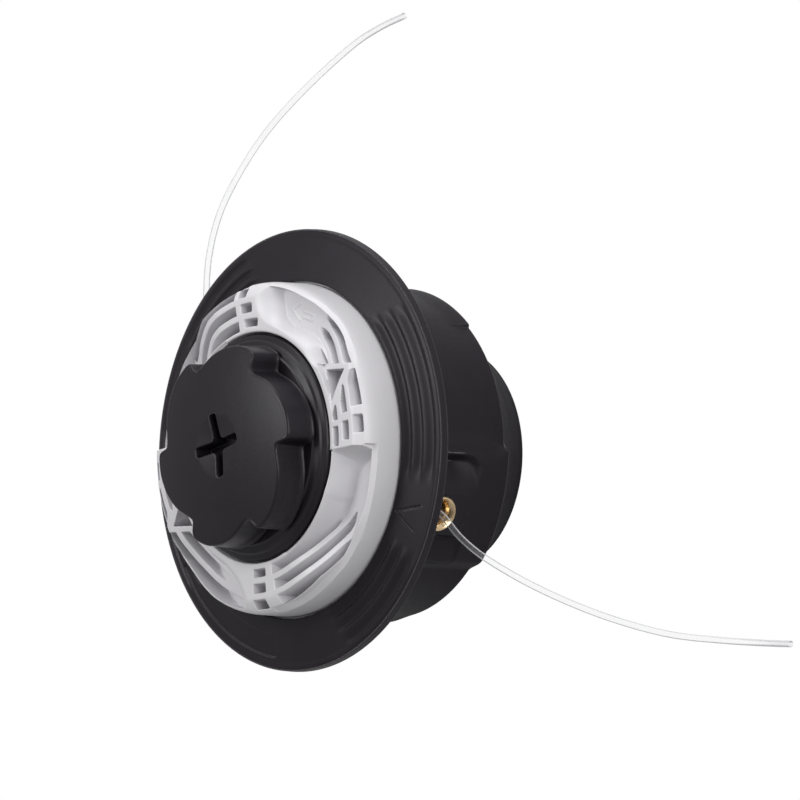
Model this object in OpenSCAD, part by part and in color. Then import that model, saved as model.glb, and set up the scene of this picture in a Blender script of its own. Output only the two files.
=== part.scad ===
// Two-line trimmer head, tap-to-feed type.
// The head stands on the back of its hub, with the tap knob up.
// Origin: centre of the hub's back face. +Z runs out through the knob.
// The two line eyelets lie on the X axis.

/* [Skid flange] */
// Outer radius of the wide skid flange
flange_r = 66; // [60:0.5:70]
// Height of the flange's outer edge above the hub's back face
flange_z = 60; // [59.5:0.1:60.5]
// Rise of the flange from its outer edge to its hole
flange_rise = 3; // [2.5:0.1:3.2]
// Radius of the hole that the winding ring stands in
flange_hole_r = 50.0; // [49.95:0.05:50.2]
// Height of the raised wave ridges on the flange
ridge_h = 0.7; // [0.3:0.1:1.0]

/* [Winding ring] */
// Outer radius of the winding ring
ring_r = 49.65; // [49.4:0.05:49.65]
// Radius of the ring's inner edge
ring_in_r = 34.5; // [34.3:0.05:35]
// Height of the ring's front face
ring_z = 77.2; // [76.5:0.1:78]
// Depth of the deep scoops below the front face
scoop_deep = 8.8; // [7:0.1:9]
// Depth of the shallow scoops below the front face
scoop_shallow = 5.1; // [4:0.1:6]

/* [Knob] */
// Largest radius of the lobed tap knob
knob_max_r = 30.1; // [29:0.1:31]
// Smallest radius of the lobed tap knob
knob_min_r = 24.5; // [23:0.1:26]
// Number of saw-tooth lobes round the knob
knob_lobes = 6; // [4:1:8]
// Height of the edge of the knob's face
knob_z = 89.5; // [88:0.1:91]
// Height of the crown at the middle of the knob's face
knob_crown_z = 91.2; // [90:0.1:92.5]
// Half length of each arm of the cross slot
slot_arm = 9.6; // [8:0.1:11]
// Width of the cross slot
slot_w = 2.9; // [2.4:0.1:3.4]

/* [Housing] */
// Radius of the hub's back end
hub_r = 34; // [32:0.5:35]
// Radius of the drum between its raised panels
drum_r = 47.8; // [47.6:0.1:48.5]
// Radius of the raised panels of the drum
panel_r = 49.6; // [49:0.1:50]
// Radius of the raised blocks that carry the eyelets
block_r = 51.4; // [51:0.1:51.8]
// Height of the drum's back edge
drum_z = 21.5; // [21:0.1:22.5]
// Height of the two eyelets
eyelet_z = 46; // [45.8:0.1:46.2]

/* [Line and drive] */
// Diameter of the cutting line
line_d = 2.0; // [1.6:0.1:2.4]
// Radius of the line wound on the spool
coil_r = 28.5; // [24:0.5:31]
// Radius of the drive thread at its crests (M10 x 1, left hand)
thread_r = 4.46; // [4.4:0.01:4.5]
// Travel of the tap knob
tap_travel = 6; // [4:0.5:6]

/* [Hidden] */

// Turn from the winding ring's own angles to the eyelet axis
face_turn = 18;
// Radii of the three rows of pockets in the winding ring, inner to outer
rows = [[36.3, 38.7], [40.7, 43.5], [45.5, 48.2]];
// Height of the floor of those pockets
pocket_z = 64.5;
wave_r = [54.0, 58.7, 63.3];

BLACK = [0.13, 0.125, 0.135];
WHITE = [0.86, 0.87, 0.88];
STEEL = [0.62, 0.63, 0.65];
BRASS = [0.78, 0.62, 0.34];
NYLON = [0.93, 0.94, 0.95];

// Route of each free line from the winding to its cut end on the ground
route_a = [[33, 0, 46], [40, 0, 46], [47, 0, 46], [54, -0.3, 45.8], [63, -3.5, 45.1],
           [74, -5.8, 43.4], [89, -8, 37.7], [103, -9.6, 29], [115.5, -10, 20],
           [128, -8.8, 11.6], [142, -5, 5.2], [155, -0.8, 2], [168, 3.7, 1.1]];
route_b = [[-33, 0, 46], [-40, 0, 46], [-47, 0, 46], [-54, 0.4, 45.8], [-64, 4, 44.8],
           [-75, 10.5, 42.2], [-84, 20.5, 39], [-92.5, 30, 34.5], [-100, 41, 28.2], [-104, 53, 21.2],
           [-105, 66, 14.2], [-101, 81, 7.7], [-91, 98.5, 2.9], [-82, 108, 1.6], [-73, 115, 1.1]];

function smooth(t) = t <= 0 ? 0 : t >= 1 ? 1 : t * t * (3 - 2 * t);

// Block between two radii, two heights and two angles
module sector(r1, r2, z1, z2, a1, a2) {
    rotate([0, 0, a1]) rotate_extrude(angle = a2 - a1, $fn = 180)
        translate([r1, z1]) square([r2 - r1, z2 - z1]);
}

// Closed ring of rectangular section
module band(r1, r2, z1, z2, f = 180) {
    rotate_extrude($fn = f) translate([r1, z1]) square([r2 - r1, z2 - z1]);
}

// ---------- knob outline ----------
// Fraction of a lobe, counted clockwise from its step
function lobe_t(a) = let (p = 360 / knob_lobes, w = (8 - a) % p) ((w + p) % p) / p;
function knob_r(a) = let (t = lobe_t(a), d = knob_max_r - knob_min_r)
    t < 0.055 ? knob_max_r - d * smooth(t / 0.055)
    : t < 0.12 ? knob_min_r
    : knob_min_r + d * smooth((t - 0.12) / 0.66);
function knob_outline(inset = 0, n = 180) =
    [for (i = [0 : n - 1]) let (a = i * 360 / n) (knob_r(a) - inset) * [cos(a), sin(a)]];

// ---------- housing ----------
// Outer shell of the drum at a given radius, with a broken back edge
module drum_section(r, edge) {
    polygon([[45, drum_z], [r - edge, drum_z], [r - edge * 0.3, drum_z + edge * 0.3], [r, drum_z + edge],
             [r, 50.5], [45, 50.5]]);
}

module housing_shell() {
    // Hub cone, drum and the wider skirt that takes the winding ring's lip
    rotate_extrude($fn = 240)
        polygon([[0, 0], [hub_r - 2.2, 0], [hub_r - 0.7, 0.7], [hub_r, 2.4],
                 [hub_r + 4, 9.5], [46.2, drum_z], [drum_r - 1.6, drum_z + 0.2],
                 [drum_r - 0.5, drum_z + 1.1], [drum_r, drum_z + 2.6],
                 [drum_r, 46.5], [54, 51.2], [54, 60.2], [0, 60.2]]);
    // Two long raised panels, then the two eyelet blocks
    for (s = [0, 180]) {
        rotate([0, 0, s + 288]) rotate_extrude(angle = 145, $fn = 240) drum_section(panel_r, 1.2);
        rotate([0, 0, s - 22]) rotate_extrude(angle = 44, $fn = 240) drum_section(block_r, 1.2);
        // Round pad under each eyelet
        rotate([0, 0, s]) translate([44, 0, eyelet_z]) rotate([0, 90, 0]) cylinder(r = 6.9, h = 8, $fn = 64);
    }
}

// Scooped pocket beside an eyelet: its floor runs out at a1 and is deep at a2
module eyelet_pocket(a1, a2) {
    intersection() {
        sector(46, 56, 32.5, 49.4, a1, a2);
        rotate([0, 0, (a1 + a2) / 2 + 20])
            translate([block_r * cos((a2 - a1) / 2 + 20), -30, 30]) cube([14, 60, 20]);
    }
}

module housing() {
    color(BLACK) {
        difference() {
            housing_shell();
            // Chamber for the spool
            translate([0, 0, 24]) cylinder(r = 45.5, h = 40, $fn = 240);
            // Wider mouth for the ring's lip
            translate([0, 0, 51.6]) cylinder(r = 51.4, h = 20, $fn = 240);
            // Open back of the hub, between the outer cone and the nut boss
            rotate_extrude($fn = 180)
                polygon([[14.2, -1], [31.2, -1], [31.4, 3], [35.6, 10.5], [42.8, 20.8], [42.8, 21.4], [14.2, 21.4]]);
            // Shallow seat for the gearbox plate
            translate([0, 0, -1]) cylinder(r = 11.5, h = 3.5, $fn = 96);
            // Hexagon pocket for the drive nut
            translate([0, 0, -1]) cylinder(r = 10.02, h = 15, $fn = 6);
            // Bore that grips the spindle, and a way through for the shaft's end
            translate([0, 0, 10]) cylinder(r = 6, h = 60, $fn = 96);
            for (s = [0, 180]) rotate([0, 0, s]) {
                // Hole for the eyelet's sleeve and its flange
                translate([30, 0, eyelet_z]) rotate([0, 90, 0]) cylinder(r = 4.02, h = 40, $fn = 64);
                translate([52, 0, eyelet_z]) rotate([0, 90, 0]) cylinder(r = 5.6, h = 8, $fn = 64);
                eyelet_pocket(7.5, 20.5);
                eyelet_pocket(-20.8, -8.2);
            }
        }
        difference() {
            union() {
                // Fan ribs in the open back of the hub
                intersection() {
                    union() for (i = [0 : 5]) rotate([0, 0, i * 60 + 30])
                        translate([13.6, -1.1, 6]) cube([34, 2.2, 16.7]);
                    rotate_extrude($fn = 120)
                        polygon([[13.6, 1.2], [31.9, 1.2], [31.9, 3], [36.1, 10.5], [43.6, 21.2], [43.6, 21.7], [13.6, 21.7]]);
                }
                // Guide tower that the spring stands round
                band(6, 9, 23.5, 44, 96);
                // Four catches that the skid flange snaps behind
                for (i = [0 : 3]) rotate([0, 0, i * 90 + 45 - 5]) rotate_extrude(angle = 10, $fn = 180)
                    polygon([[53.6, 55], [53.6, 57.6], [54.9, 57.6], [54.9, 57.1]]);
            }
        }
    }
}

// ---------- drive ----------
module drive_nut() {
    color(STEEL) difference() {
        translate([0, 0, 2.5]) cylinder(r = 10, h = 11.4, $fn = 6);
        translate([0, 0, 0]) cylinder(r = thread_r, h = 20, $fn = 96);
        // Lead-in at the mouth
        translate([0, 0, 2.5]) rotate_extrude($fn = 96) polygon([[0, -0.1], [5.3, -0.1], [5.3, 0], [thread_r, 0.85], [0, 0.85]]);
    }
}

module spindle() {
    color(STEEL) difference() {
        union() {
            translate([0, 0, 20]) cylinder(r = 5.98, h = 24, $fn = 96);
            // Upper journal, with two flats that key the spring cup
            intersection() {
                translate([0, 0, 44]) cylinder(r = 5.98, h = 28.5, $fn = 96);
                union() {
                    translate([-5, -10, 43]) cube([10, 20, 30]);
                    translate([-7, -10, 61.2]) cube([14, 20, 12]);
                }
            }
            rotate_extrude($fn = 96) polygon([[0, 72.4], [5.98, 72.4], [5.1, 73.6], [0, 73.6]]);
        }
        // Hollow core
        translate([0, 0, 19]) cylinder(r = 3.2, h = 46, $fn = 64);
    }
}

module eyelet() {
    // Flanged brass bush with a rounded mouth
    color(BRASS) translate([0, 0, eyelet_z]) rotate([0, 90, 0]) rotate_extrude($fn = 96)
        polygon(concat([[2.7, 44.6], [4, 44.6], [4, 52], [5.4, 52], [5.4, 52.9]],
                       [for (i = [1 : 7]) let (a = i * 90 / 7) [4.4 + 1.0 * cos(a), 52.9 + 0.9 * sin(a)]],
                       [for (i = [0 : 7]) let (a = i * 90 / 7) [4.4 - 1.7 * sin(a), 52.1 + 1.7 * cos(a)]]));
}
module eyelet_a() { eyelet(); }
module eyelet_b() { rotate([0, 0, 180]) eyelet(); }

// ---------- index ring: two rows of stops that hold the spool between taps ----------
module index_ring() {
    color([0.3, 0.31, 0.33]) {
        rotate([0, 0, 19]) band(44, 45.4, 24.1, 37.2);
        for (i = [0 : 11]) rotate([0, 0, i * 30]) {
            sector(43.1, 44.2, 31.2, 37, 0, 8);
            sector(43.1, 44.2, 24.4, 29.2, -10, -2);
        }
    }
}

// ---------- spring group ----------
module spring_seat() {
    color(STEEL) band(9.3, 15, 24.02, 25.2, 96);
}

spring_n = 6;
spring_wire = 1.8;
spring_mean = 11.6;
spring_z0 = 26.2;
spring_z1 = 56.4;
module return_spring() {
    // Round wire wound as a helix, closed at both ends
    turns = spring_n + 2;
    steps = turns * 20;
    function pitch_z(u) = let (e = 1 / turns)
        u < e ? spring_z0 + (u / e) * spring_wire * 1.04
        : u > 1 - e ? spring_z1 - ((1 - u) / e) * spring_wire * 1.04
        : spring_z0 + spring_wire * 1.04 + (u - e) / (1 - 2 * e) * (spring_z1 - spring_z0 - 2 * spring_wire * 1.04);
    pts = [for (i = [0 : steps]) let (u = i / steps, a = u * turns * 360, z = pitch_z(u))
           for (j = [0 : 7]) let (b = j * 45 + 22.5, r = spring_mean + spring_wire / 2 * cos(b))
           [r * cos(a), r * sin(a), z + spring_wire / 2 * sin(b)]];
    faces = concat([[for (j = [0 : 7]) j]],
                   [for (i = [0 : steps - 1]) for (j = [0 : 7]) let (k = (j + 1) % 8)
                    [i * 8 + k, i * 8 + j, i * 8 + 8 + j, i * 8 + 8 + k]],
                   [[for (j = [7 : -1 : 0]) steps * 8 + j]]);
    color(STEEL) polyhedron(points = pts, faces = faces, convexity = 10);
}

module spring_cup() {
    color([0.2, 0.2, 0.22]) difference() {
        union() {
            band(13, 15.4, 46, 60, 120);
            band(5, 15.4, 57.4, 60, 120);
        }
        // Keyed bore: round, but narrowed by the spindle's two flats
        intersection() {
            translate([0, 0, 50]) cylinder(r = 6.2, h = 20, $fn = 96);
            translate([-5.15, -10, 50]) cube([10.3, 20, 20]);
        }
    }
}

module thrust_washer() {
    color(STEEL) band(6.3, 12, 60, 60.9, 96);
}

// ---------- spool ----------
screw_r = 14;
module spool() {
    color([0.24, 0.24, 0.26]) difference() {
        union() {
            // Core and its two flanges
            band(17.9, 20, 32, 62);
            band(17.9, 42.3, 32, 33.8);
            band(17.9, 44.6, 54.2, 56);
            // Heavy web that runs on the spindle
            band(6.03, 20, 61, 68);
            // Nose that carries the winding ring, the collar and the knob
            band(19, 30, 65, 68);
            band(27.6, 30, 55.5, 68);
            // Stiffening ribs inside the nose
            for (i = [0 : 5]) rotate([0, 0, i * 60]) translate([19.5, -0.9, 56]) cube([9, 1.8, 9.5]);
            // Index lugs on the back flange
            for (i = [0 : 5]) sector(41.9, 43.65, 32, 36, i * 60 + 9.2, i * 60 + 17);
            // Dogs that drive the winding ring, each beside one of its ribs
            for (i = [0 : 3]) rotate([0, 0, i * 90]) translate([38.4, 1.2, 55.5]) cube([4, 3.5, 5]);
        }
        for (i = [0 : 2]) rotate([0, 0, i * 120 + 30]) translate([screw_r, 0, 0]) {
            translate([0, 0, 50]) cylinder(r = 3.4, h = 14.2, $fn = 48);
            translate([0, 0, 60]) cylinder(r = 2.1, h = 10, $fn = 48);
        }
        // Two notches that hold the line at the start of a winding
        for (s = [0, 180]) rotate([0, 0, s]) translate([38, -1.3, 31]) cube([8, 2.6, 4]);
    }
}

module wound_line() {
    color(NYLON) band(20.1, coil_r, 33.9, 54.1, 120);
}

// ---------- winding ring ----------
// Space above a plane through the radial line at a0 and z0. It falls anticlockwise for side 1, clockwise for side -1.
module above_plane(a0, z0, fall, side) {
    rotate([0, 0, a0]) translate([0, 0, z0]) rotate([-side * fall, 0, 0])
        translate([-20, -130, 0]) cube([110, 260, 60]);
}
// Half space on the clockwise side of the radial line at a0
module before(a0) {
    rotate([0, 0, a0]) translate([-70, -140, 0]) cube([140, 140, 120]);
}

// Profile: flat face, rim that falls away in a large rounding, lip behind the flange, inner shoulder
module ring_blank() {
    rotate_extrude($fn = 240)
        polygon([[26, 68], [26, 69.8], [ring_in_r, 69.8], [ring_in_r, ring_z - 0.5], [ring_in_r + 0.5, ring_z],
                 [45.2, ring_z], [46.6, ring_z - 0.6], [47.9, ring_z - 1.5], [48.9, ring_z - 2.8], [49.4, ring_z - 4.2],
                 [ring_r, ring_z - 6], [ring_r, 60.2], [50.9, 60.2], [50.9, 58.2],
                 [36.3, 58.2], [36.3, 56.3], [ring_in_r, 56.3], [ring_in_r, 68]]);
}

// Shallow scoop: steep start, level floor, then a floor that rises to the windows
module shallow_scoop() {
    intersection() {
        sector(36.1, 48.35, 60, 90, 14, 96);
        union() {
            intersection() {
                above_plane(18, ring_z, 6.5, 1);
                before(45);
            }
            intersection() {
                above_plane(36, ring_z - 1.5, 14.7, 1);
                above_plane(91, ring_z, 32, -1);
                translate([-60, -60, ring_z - scoop_shallow]) cube([120, 120, 60]);
            }
        }
    }
    // Rim beside the scoop, a little lower than the face
    intersection() {
        sector(48, 52, 66, 90, 12, 84);
        above_plane(50, 73.4, 4.2, 1);
        above_plane(57, 73.5, 7.5, -1);
    }
}

// Deep scoop: a radial step, a level floor, then a floor that rises clockwise
module deep_scoop() {
    difference() {
        intersection() {
            sector(36.5, 48.35, 60, 90, -70, 8);
            translate([36.6, 1.0, 60]) rotate([0, 0, 10.4]) translate([-60, -140, 0]) cube([140, 140, 60]);
            translate([-60, -60, ring_z - scoop_deep]) cube([120, 120, 60]);
            union() {
                above_plane(-30, ring_z - scoop_deep, 26.8, 1);
                above_plane(-43, ring_z - 4, 17.8, 1);
            }
        }
        // Slanted facet in the corner between the step and the inner wall
        translate([36.6, 1.0, ring_z]) rotate([0, 0, -50]) rotate([0, -32, 0]) translate([-30, -30, -40]) cube([30, 60, 80]);
    }
    // Rim beside the scoop, well below the face
    intersection() {
        sector(48, 52, 66, 90, -78, 8);
        translate([36.6, 1.0, 60]) rotate([0, 0, 10.4]) translate([-60, -140, 0]) cube([140, 140, 60]);
        translate([-60, -60, 72.1]) cube([120, 120, 60]);
        above_plane(-52, 72.1, 10.7, 1);
    }
}

// One half of the face: two columns of windows, two scoops and their grooves
module ring_half(s) {
    rotate([0, 0, s]) {
        for (i = [0 : 2]) {
            // The two columns of windows, and the windows between them
            sector(rows[i][0], rows[i][1], pocket_z, 90, [94.6, 98, 100.3][i], [101.5, 103.2, 104.7][i]);
            sector(rows[i][0], rows[i][1], pocket_z, 90, [3.8, 5.8, 7.9][i], [11.1, 13.2, 14.4][i]);
            sector(rows[i][0], rows[i][1], pocket_z, 90, [14.9, 16.7, 17.8][i], [21, 26.5, 31.5][i]);
            // Grooves at the foot of the deep scoop
            sector(rows[i][0], rows[i][1], pocket_z, 90, [-73, -72.3, -71.8][i], [-31, -24, -31.5][i]);
        }
        shallow_scoop();
        // Three grooves at the foot of the shallow scoop, up to a straight wall
        intersection() {
            for (i = [0 : 2]) sector(rows[i][0], rows[i][1], pocket_z, 90, 28, [55.7, 60.4, 60][i]);
            translate([33, 26.45, 0]) rotate([0, 0, 4.5]) translate([-80, 0, 0]) cube([160, 60, 100]);
        }
        // Three-cornered window below the wall
        translate([0, 0, pocket_z]) linear_extrude(16)
            polygon([[28.4, 24.1], [37.6, 24.9], [36.5, 22.8], [35.4, 20.2], [34.6, 17.8], [34, 15.6], [32.7, 17.2], [30.9, 20]]);
        deep_scoop();
    }
}

// Plain arrow raised from the shallow scoop's floor, pointing the winding way
module ring_arrow(s) {
    rotate([0, 0, s]) difference() {
        translate([12.4, 40.6, ring_z - 7]) rotate([0, 0, 167]) linear_extrude(12)
            polygon([[4.8, 0], [1.2, 3.2], [0.4, 2.4], [2.2, 0.7], [-4.4, 0.7], [-4.4, -0.7], [2.2, -0.7], [0.4, -2.4], [1.2, -3.2]]);
        translate([-60, -60, ring_z - scoop_shallow + 0.4]) cube([120, 120, 60]);
    }
}

module winding_ring() {
    color(WHITE) union() {
        difference() {
            ring_blank();
            rotate([0, 0, face_turn]) for (s = [0, 180]) ring_half(s);
            // Hollow underside between eight ribs
            for (i = [0 : 7]) sector(37.5, 47.7, 50, 62.6, i * 45 + 1.3, i * 45 + 43.7);
        }
        rotate([0, 0, face_turn]) for (s = [0, 180]) ring_arrow(s);
    }
}

// ---------- collar and knob ----------
module knob_collar() {
    color(BLACK) difference() {
        rotate_extrude($fn = 240)
            polygon([[12, 77], [31.2, 77], [31.2, 69.9], [33.6, 69.9], [33.8, 76.6], [33.4, 77.3],
                     [32.0, 77.9], [31.6, 78.6], [29.6, 79.1], [29.2, 79.6], [12, 79.6]]);
        for (i = [0 : 2]) rotate([0, 0, i * 120 + 30]) translate([screw_r, 0, 60]) cylinder(r = 4.2, h = 30, $fn = 48);
    }
}

module bump_knob() {
    color(BLACK) rotate([0, 0, face_turn]) difference() {
        union() {
            intersection() {
                translate([0, 0, 79.7]) linear_extrude(20) polygon(knob_outline());
                // Domed face with a small broken edge
                rotate_extrude($fn = 240)
                    polygon(concat([[0, 70]], [[36, 70], [36, knob_z - 0.5]],
                                   [for (i = [0 : 10]) let (r = 31 * (1 - i / 10)) [r, knob_crown_z - (knob_crown_z - knob_z) * pow(r / 31, 2)]]));
            }
            for (i = [0 : 2]) rotate([0, 0, i * 120 + 30 - face_turn]) translate([screw_r, 0, 68.1]) cylinder(r = 3.9, h = 14, $fn = 48);
        }
        // Hollow underside, round the centre boss and the screw bosses
        difference() {
            translate([0, 0, 79]) linear_extrude(6.5) polygon(knob_outline(2.6));
            translate([0, 0, 70]) cylinder(r = 11.6, h = 30, $fn = 96);
            for (i = [0 : 2]) rotate([0, 0, i * 120 + 30 - face_turn]) translate([screw_r, 0, 60]) cylinder(r = 3.9, h = 40, $fn = 48);
        }
        // Way for the spindle's end
        translate([0, 0, 60]) cylinder(r = 6.4, h = 22, $fn = 96);
        // Pilot holes for the screws
        for (i = [0 : 2]) rotate([0, 0, i * 120 + 30 - face_turn]) translate([screw_r, 0, 60]) cylinder(r = 1.6, h = 23.5, $fn = 48);
        // Cross slot in the face
        rotate([0, 0, 19]) translate([0, 0, 86]) for (a = [0, 90]) rotate([0, 0, a])
            translate([-slot_arm, -slot_w / 2, 0]) cube([2 * slot_arm, slot_w, 10]);
    }
}

module knob_screws() {
    // Pan-head screws from inside the spool into the knob
    color(STEEL) for (i = [0 : 2]) rotate([0, 0, i * 120 + 30]) translate([screw_r, 0, 0]) {
        difference() {
            union() {
                translate([0, 0, 62]) cylinder(r = 3.2, h = 2.2, $fn = 48);
                translate([0, 0, 64]) cylinder(r = 1.58, h = 18, $fn = 48);
            }
            for (a = [0, 90]) rotate([0, 0, a]) translate([-1.7, -0.35, 61]) cube([3.4, 0.7, 2]);
        }
    }
}

// ---------- skid flange ----------
module ridge(r, w, a1, a2) {
    // One wave ridge: a low rounded crest that follows the flange's cone
    zc = flange_z + flange_rise * (flange_r - r) / (flange_r - flange_hole_r);
    rotate([0, 0, a1]) rotate_extrude(angle = a2 - a1, $fn = 180)
        polygon([for (i = [0 : 8]) let (u = i / 8 * 2 - 1) [r + u * w / 2, zc - u * w / 2 * flange_rise / (flange_r - flange_hole_r) - 0.3 + (ridge_h + 0.3) * (1 - u * u)]]);
}

module skid_flange() {
    k = flange_rise / (flange_r - flange_hole_r);
    color(BLACK) rotate([0, 0, face_turn]) difference() {
        union() {
            // Conical disc with a rounded rim
            rotate_extrude($fn = 240)
                polygon([[flange_hole_r, flange_z + flange_rise - 2.6], [flange_hole_r, flange_z + flange_rise - 0.3],
                         [flange_hole_r + 0.4, flange_z + flange_rise], [flange_r - 1, flange_z + k],
                         [flange_r - 0.25, flange_z - 0.3], [flange_r, flange_z - 0.9], [flange_r - 0.2, flange_z - 1.6],
                         [flange_r - 0.8, flange_z - 1.9], [57, flange_z - 0.4], [57, 60.3]]);
            // Sleeve that fits over the housing's mouth
            rotate_extrude($fn = 240) polygon([[54.2, 54.2], [56.2, 54.2], [56.5, 60.5], [54.2, 60.5]]);
            for (s = [0, 180]) for (i = [0 : 2]) {
                ridge(wave_r[i], 4.2, s - 12 + i * 0.8, s + 52 - i * 2);
                ridge(wave_r[i], 4.2, s - 70 + i * 2, s - 27 - i * 0.8);
            }
            // Wedge mark beside each eyelet, pointing at the centre
            for (s = [-18, 162]) rotate([0, 0, s]) for (m = [-1, 1])
                translate([51.5, 0, flange_z + 1]) rotate([0, 0, m * 27]) translate([0, -0.45, 0]) rotate([0, 10, 0]) cube([9.6, 0.9, 2.2]);
        }
        // Recessed label, left plain
        translate([0, 0, -0.45]) rotate([0, 0, 216]) rotate_extrude(angle = 50, $fn = 180)
            polygon([[55.3, flange_z + k * (flange_r - 55.3)], [62.4, flange_z + k * (flange_r - 62.4)], [62.4, 66], [55.3, 66]]);
        // Four windows that the catches snap into
        for (i = [0 : 3]) rotate([0, 0, i * 90 + 45 - face_turn]) translate([53, -5.5, 54.8]) cube([5, 11, 3.1]);
    }
}

// ---------- free lines ----------
// Point on a smooth curve through the route's points
function cr(p0, p1, p2, p3, t) =
    0.5 * (2 * p1 + (p2 - p0) * t + (2 * p0 - 5 * p1 + 4 * p2 - p3) * t * t + (3 * p1 - p0 - 3 * p2 + p3) * t * t * t);
function on_route(rt, u) = let (n = len(rt) - 1, s = min(n - 0.0001, max(0, u * n)), i = floor(s), t = s - i)
    cr(rt[max(0, i - 1)], rt[i], rt[min(n, i + 1)], rt[min(n, i + 2)], t);
function unit(v) = v / norm(v);
module tube(rt, rings, sides, r) {
    c = [for (i = [0 : rings - 1]) on_route(rt, i / (rings - 1))];
    pts = [for (i = [0 : rings - 1])
           let (d = unit(c[min(rings - 1, i + 1)] - c[max(0, i - 1)]),
                side = unit(cross(d, [0, 0, 1])), up = cross(side, d))
           for (j = [0 : sides - 1]) let (b = j * 360 / sides + 22.5) c[i] + r * (cos(b) * side + sin(b) * up)];
    faces = concat([[for (j = [0 : sides - 1]) j]],
                   [for (i = [0 : rings - 2]) for (j = [0 : sides - 1]) let (k = (j + 1) % sides)
                    [i * sides + k, i * sides + j, (i + 1) * sides + j, (i + 1) * sides + k]],
                   [[for (j = [sides - 1 : -1 : 0]) (rings - 1) * sides + j]]);
    polyhedron(points = pts, faces = faces, convexity = 6);
}
module line_tail_a() { color(NYLON) tube(route_a, 38, 8, line_d / 2); }
module line_tail_b() { color(NYLON) tube(route_b, 40, 8, line_d / 2); }

housing();
drive_nut();
eyelet_a();
eyelet_b();
index_ring();
spindle();
spring_seat();
return_spring();
skid_flange();
spring_cup();
thrust_washer();
spool();
winding_ring();
knob_collar();
bump_knob();
knob_screws();
wound_line();
line_tail_a();
line_tail_b();
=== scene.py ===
import math

import bpy
import numpy as np
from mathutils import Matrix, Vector


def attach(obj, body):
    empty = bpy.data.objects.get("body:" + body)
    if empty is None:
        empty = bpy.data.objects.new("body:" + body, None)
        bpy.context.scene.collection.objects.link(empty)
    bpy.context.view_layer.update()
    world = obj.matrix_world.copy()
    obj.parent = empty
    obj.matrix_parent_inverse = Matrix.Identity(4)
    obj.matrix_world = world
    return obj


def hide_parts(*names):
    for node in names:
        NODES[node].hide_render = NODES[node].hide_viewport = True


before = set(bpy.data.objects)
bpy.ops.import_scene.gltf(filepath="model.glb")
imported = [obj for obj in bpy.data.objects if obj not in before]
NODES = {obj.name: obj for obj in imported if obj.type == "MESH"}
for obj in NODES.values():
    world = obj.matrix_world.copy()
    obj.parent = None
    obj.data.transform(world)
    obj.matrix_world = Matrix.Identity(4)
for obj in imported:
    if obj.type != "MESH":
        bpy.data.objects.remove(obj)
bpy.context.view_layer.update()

RAD = math.pi / 180


# ---------------------------------------------------------------- camera
def face_axes():
    """Axes of the head's face: U across the picture, V up it, Z out through the knob."""
    c, s = math.cos(18 * RAD), math.sin(18 * RAD)
    return Vector((c, s, 0)), Vector((-s, c, 0)), Vector((0, 0, 1))


U, V, Z = face_axes()
E_AXIS = 0.64 * U - 0.768 * Z
BACK = (0.768 * U + 0.64 * Z).normalized()
TILT = 3.35 * RAD
RIGHT = (math.cos(TILT) * E_AXIS + math.sin(TILT) * V).normalized()
UP = BACK.cross(RIGHT).normalized()
PX = 0.000298
TARGET = Vector((0, 0, 0.060)) + PX * (97.4 * E_AXIS + 56.0 * V)
DIST = 8.0

cam_data = bpy.data.cameras.new("camera")
cam = bpy.data.objects.new("camera", cam_data)
bpy.context.scene.collection.objects.link(cam)
cam_data.sensor_fit = "HORIZONTAL"
cam_data.sensor_width = 36
cam_data.lens = 36 * DIST / (800 * PX)
cam_data.clip_start = 0.05
cam_data.clip_end = 60
rot = np.array([RIGHT, UP, BACK]).T
from mathutils import Matrix
m = Matrix([list(row) + [0] for row in rot.tolist()] + [[0, 0, 0, 1]])
m.translation = TARGET + DIST * BACK
cam.matrix_world = m
bpy.context.scene.camera = cam


# ---------------------------------------------------------------- materials
def node(nt, kind, loc=(0, 0), **inputs):
    n = nt.nodes.new(kind)
    n.location = loc
    for key, val in inputs.items():
        n.inputs[key.replace("_", " ")].default_value = val
    return n


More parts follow.
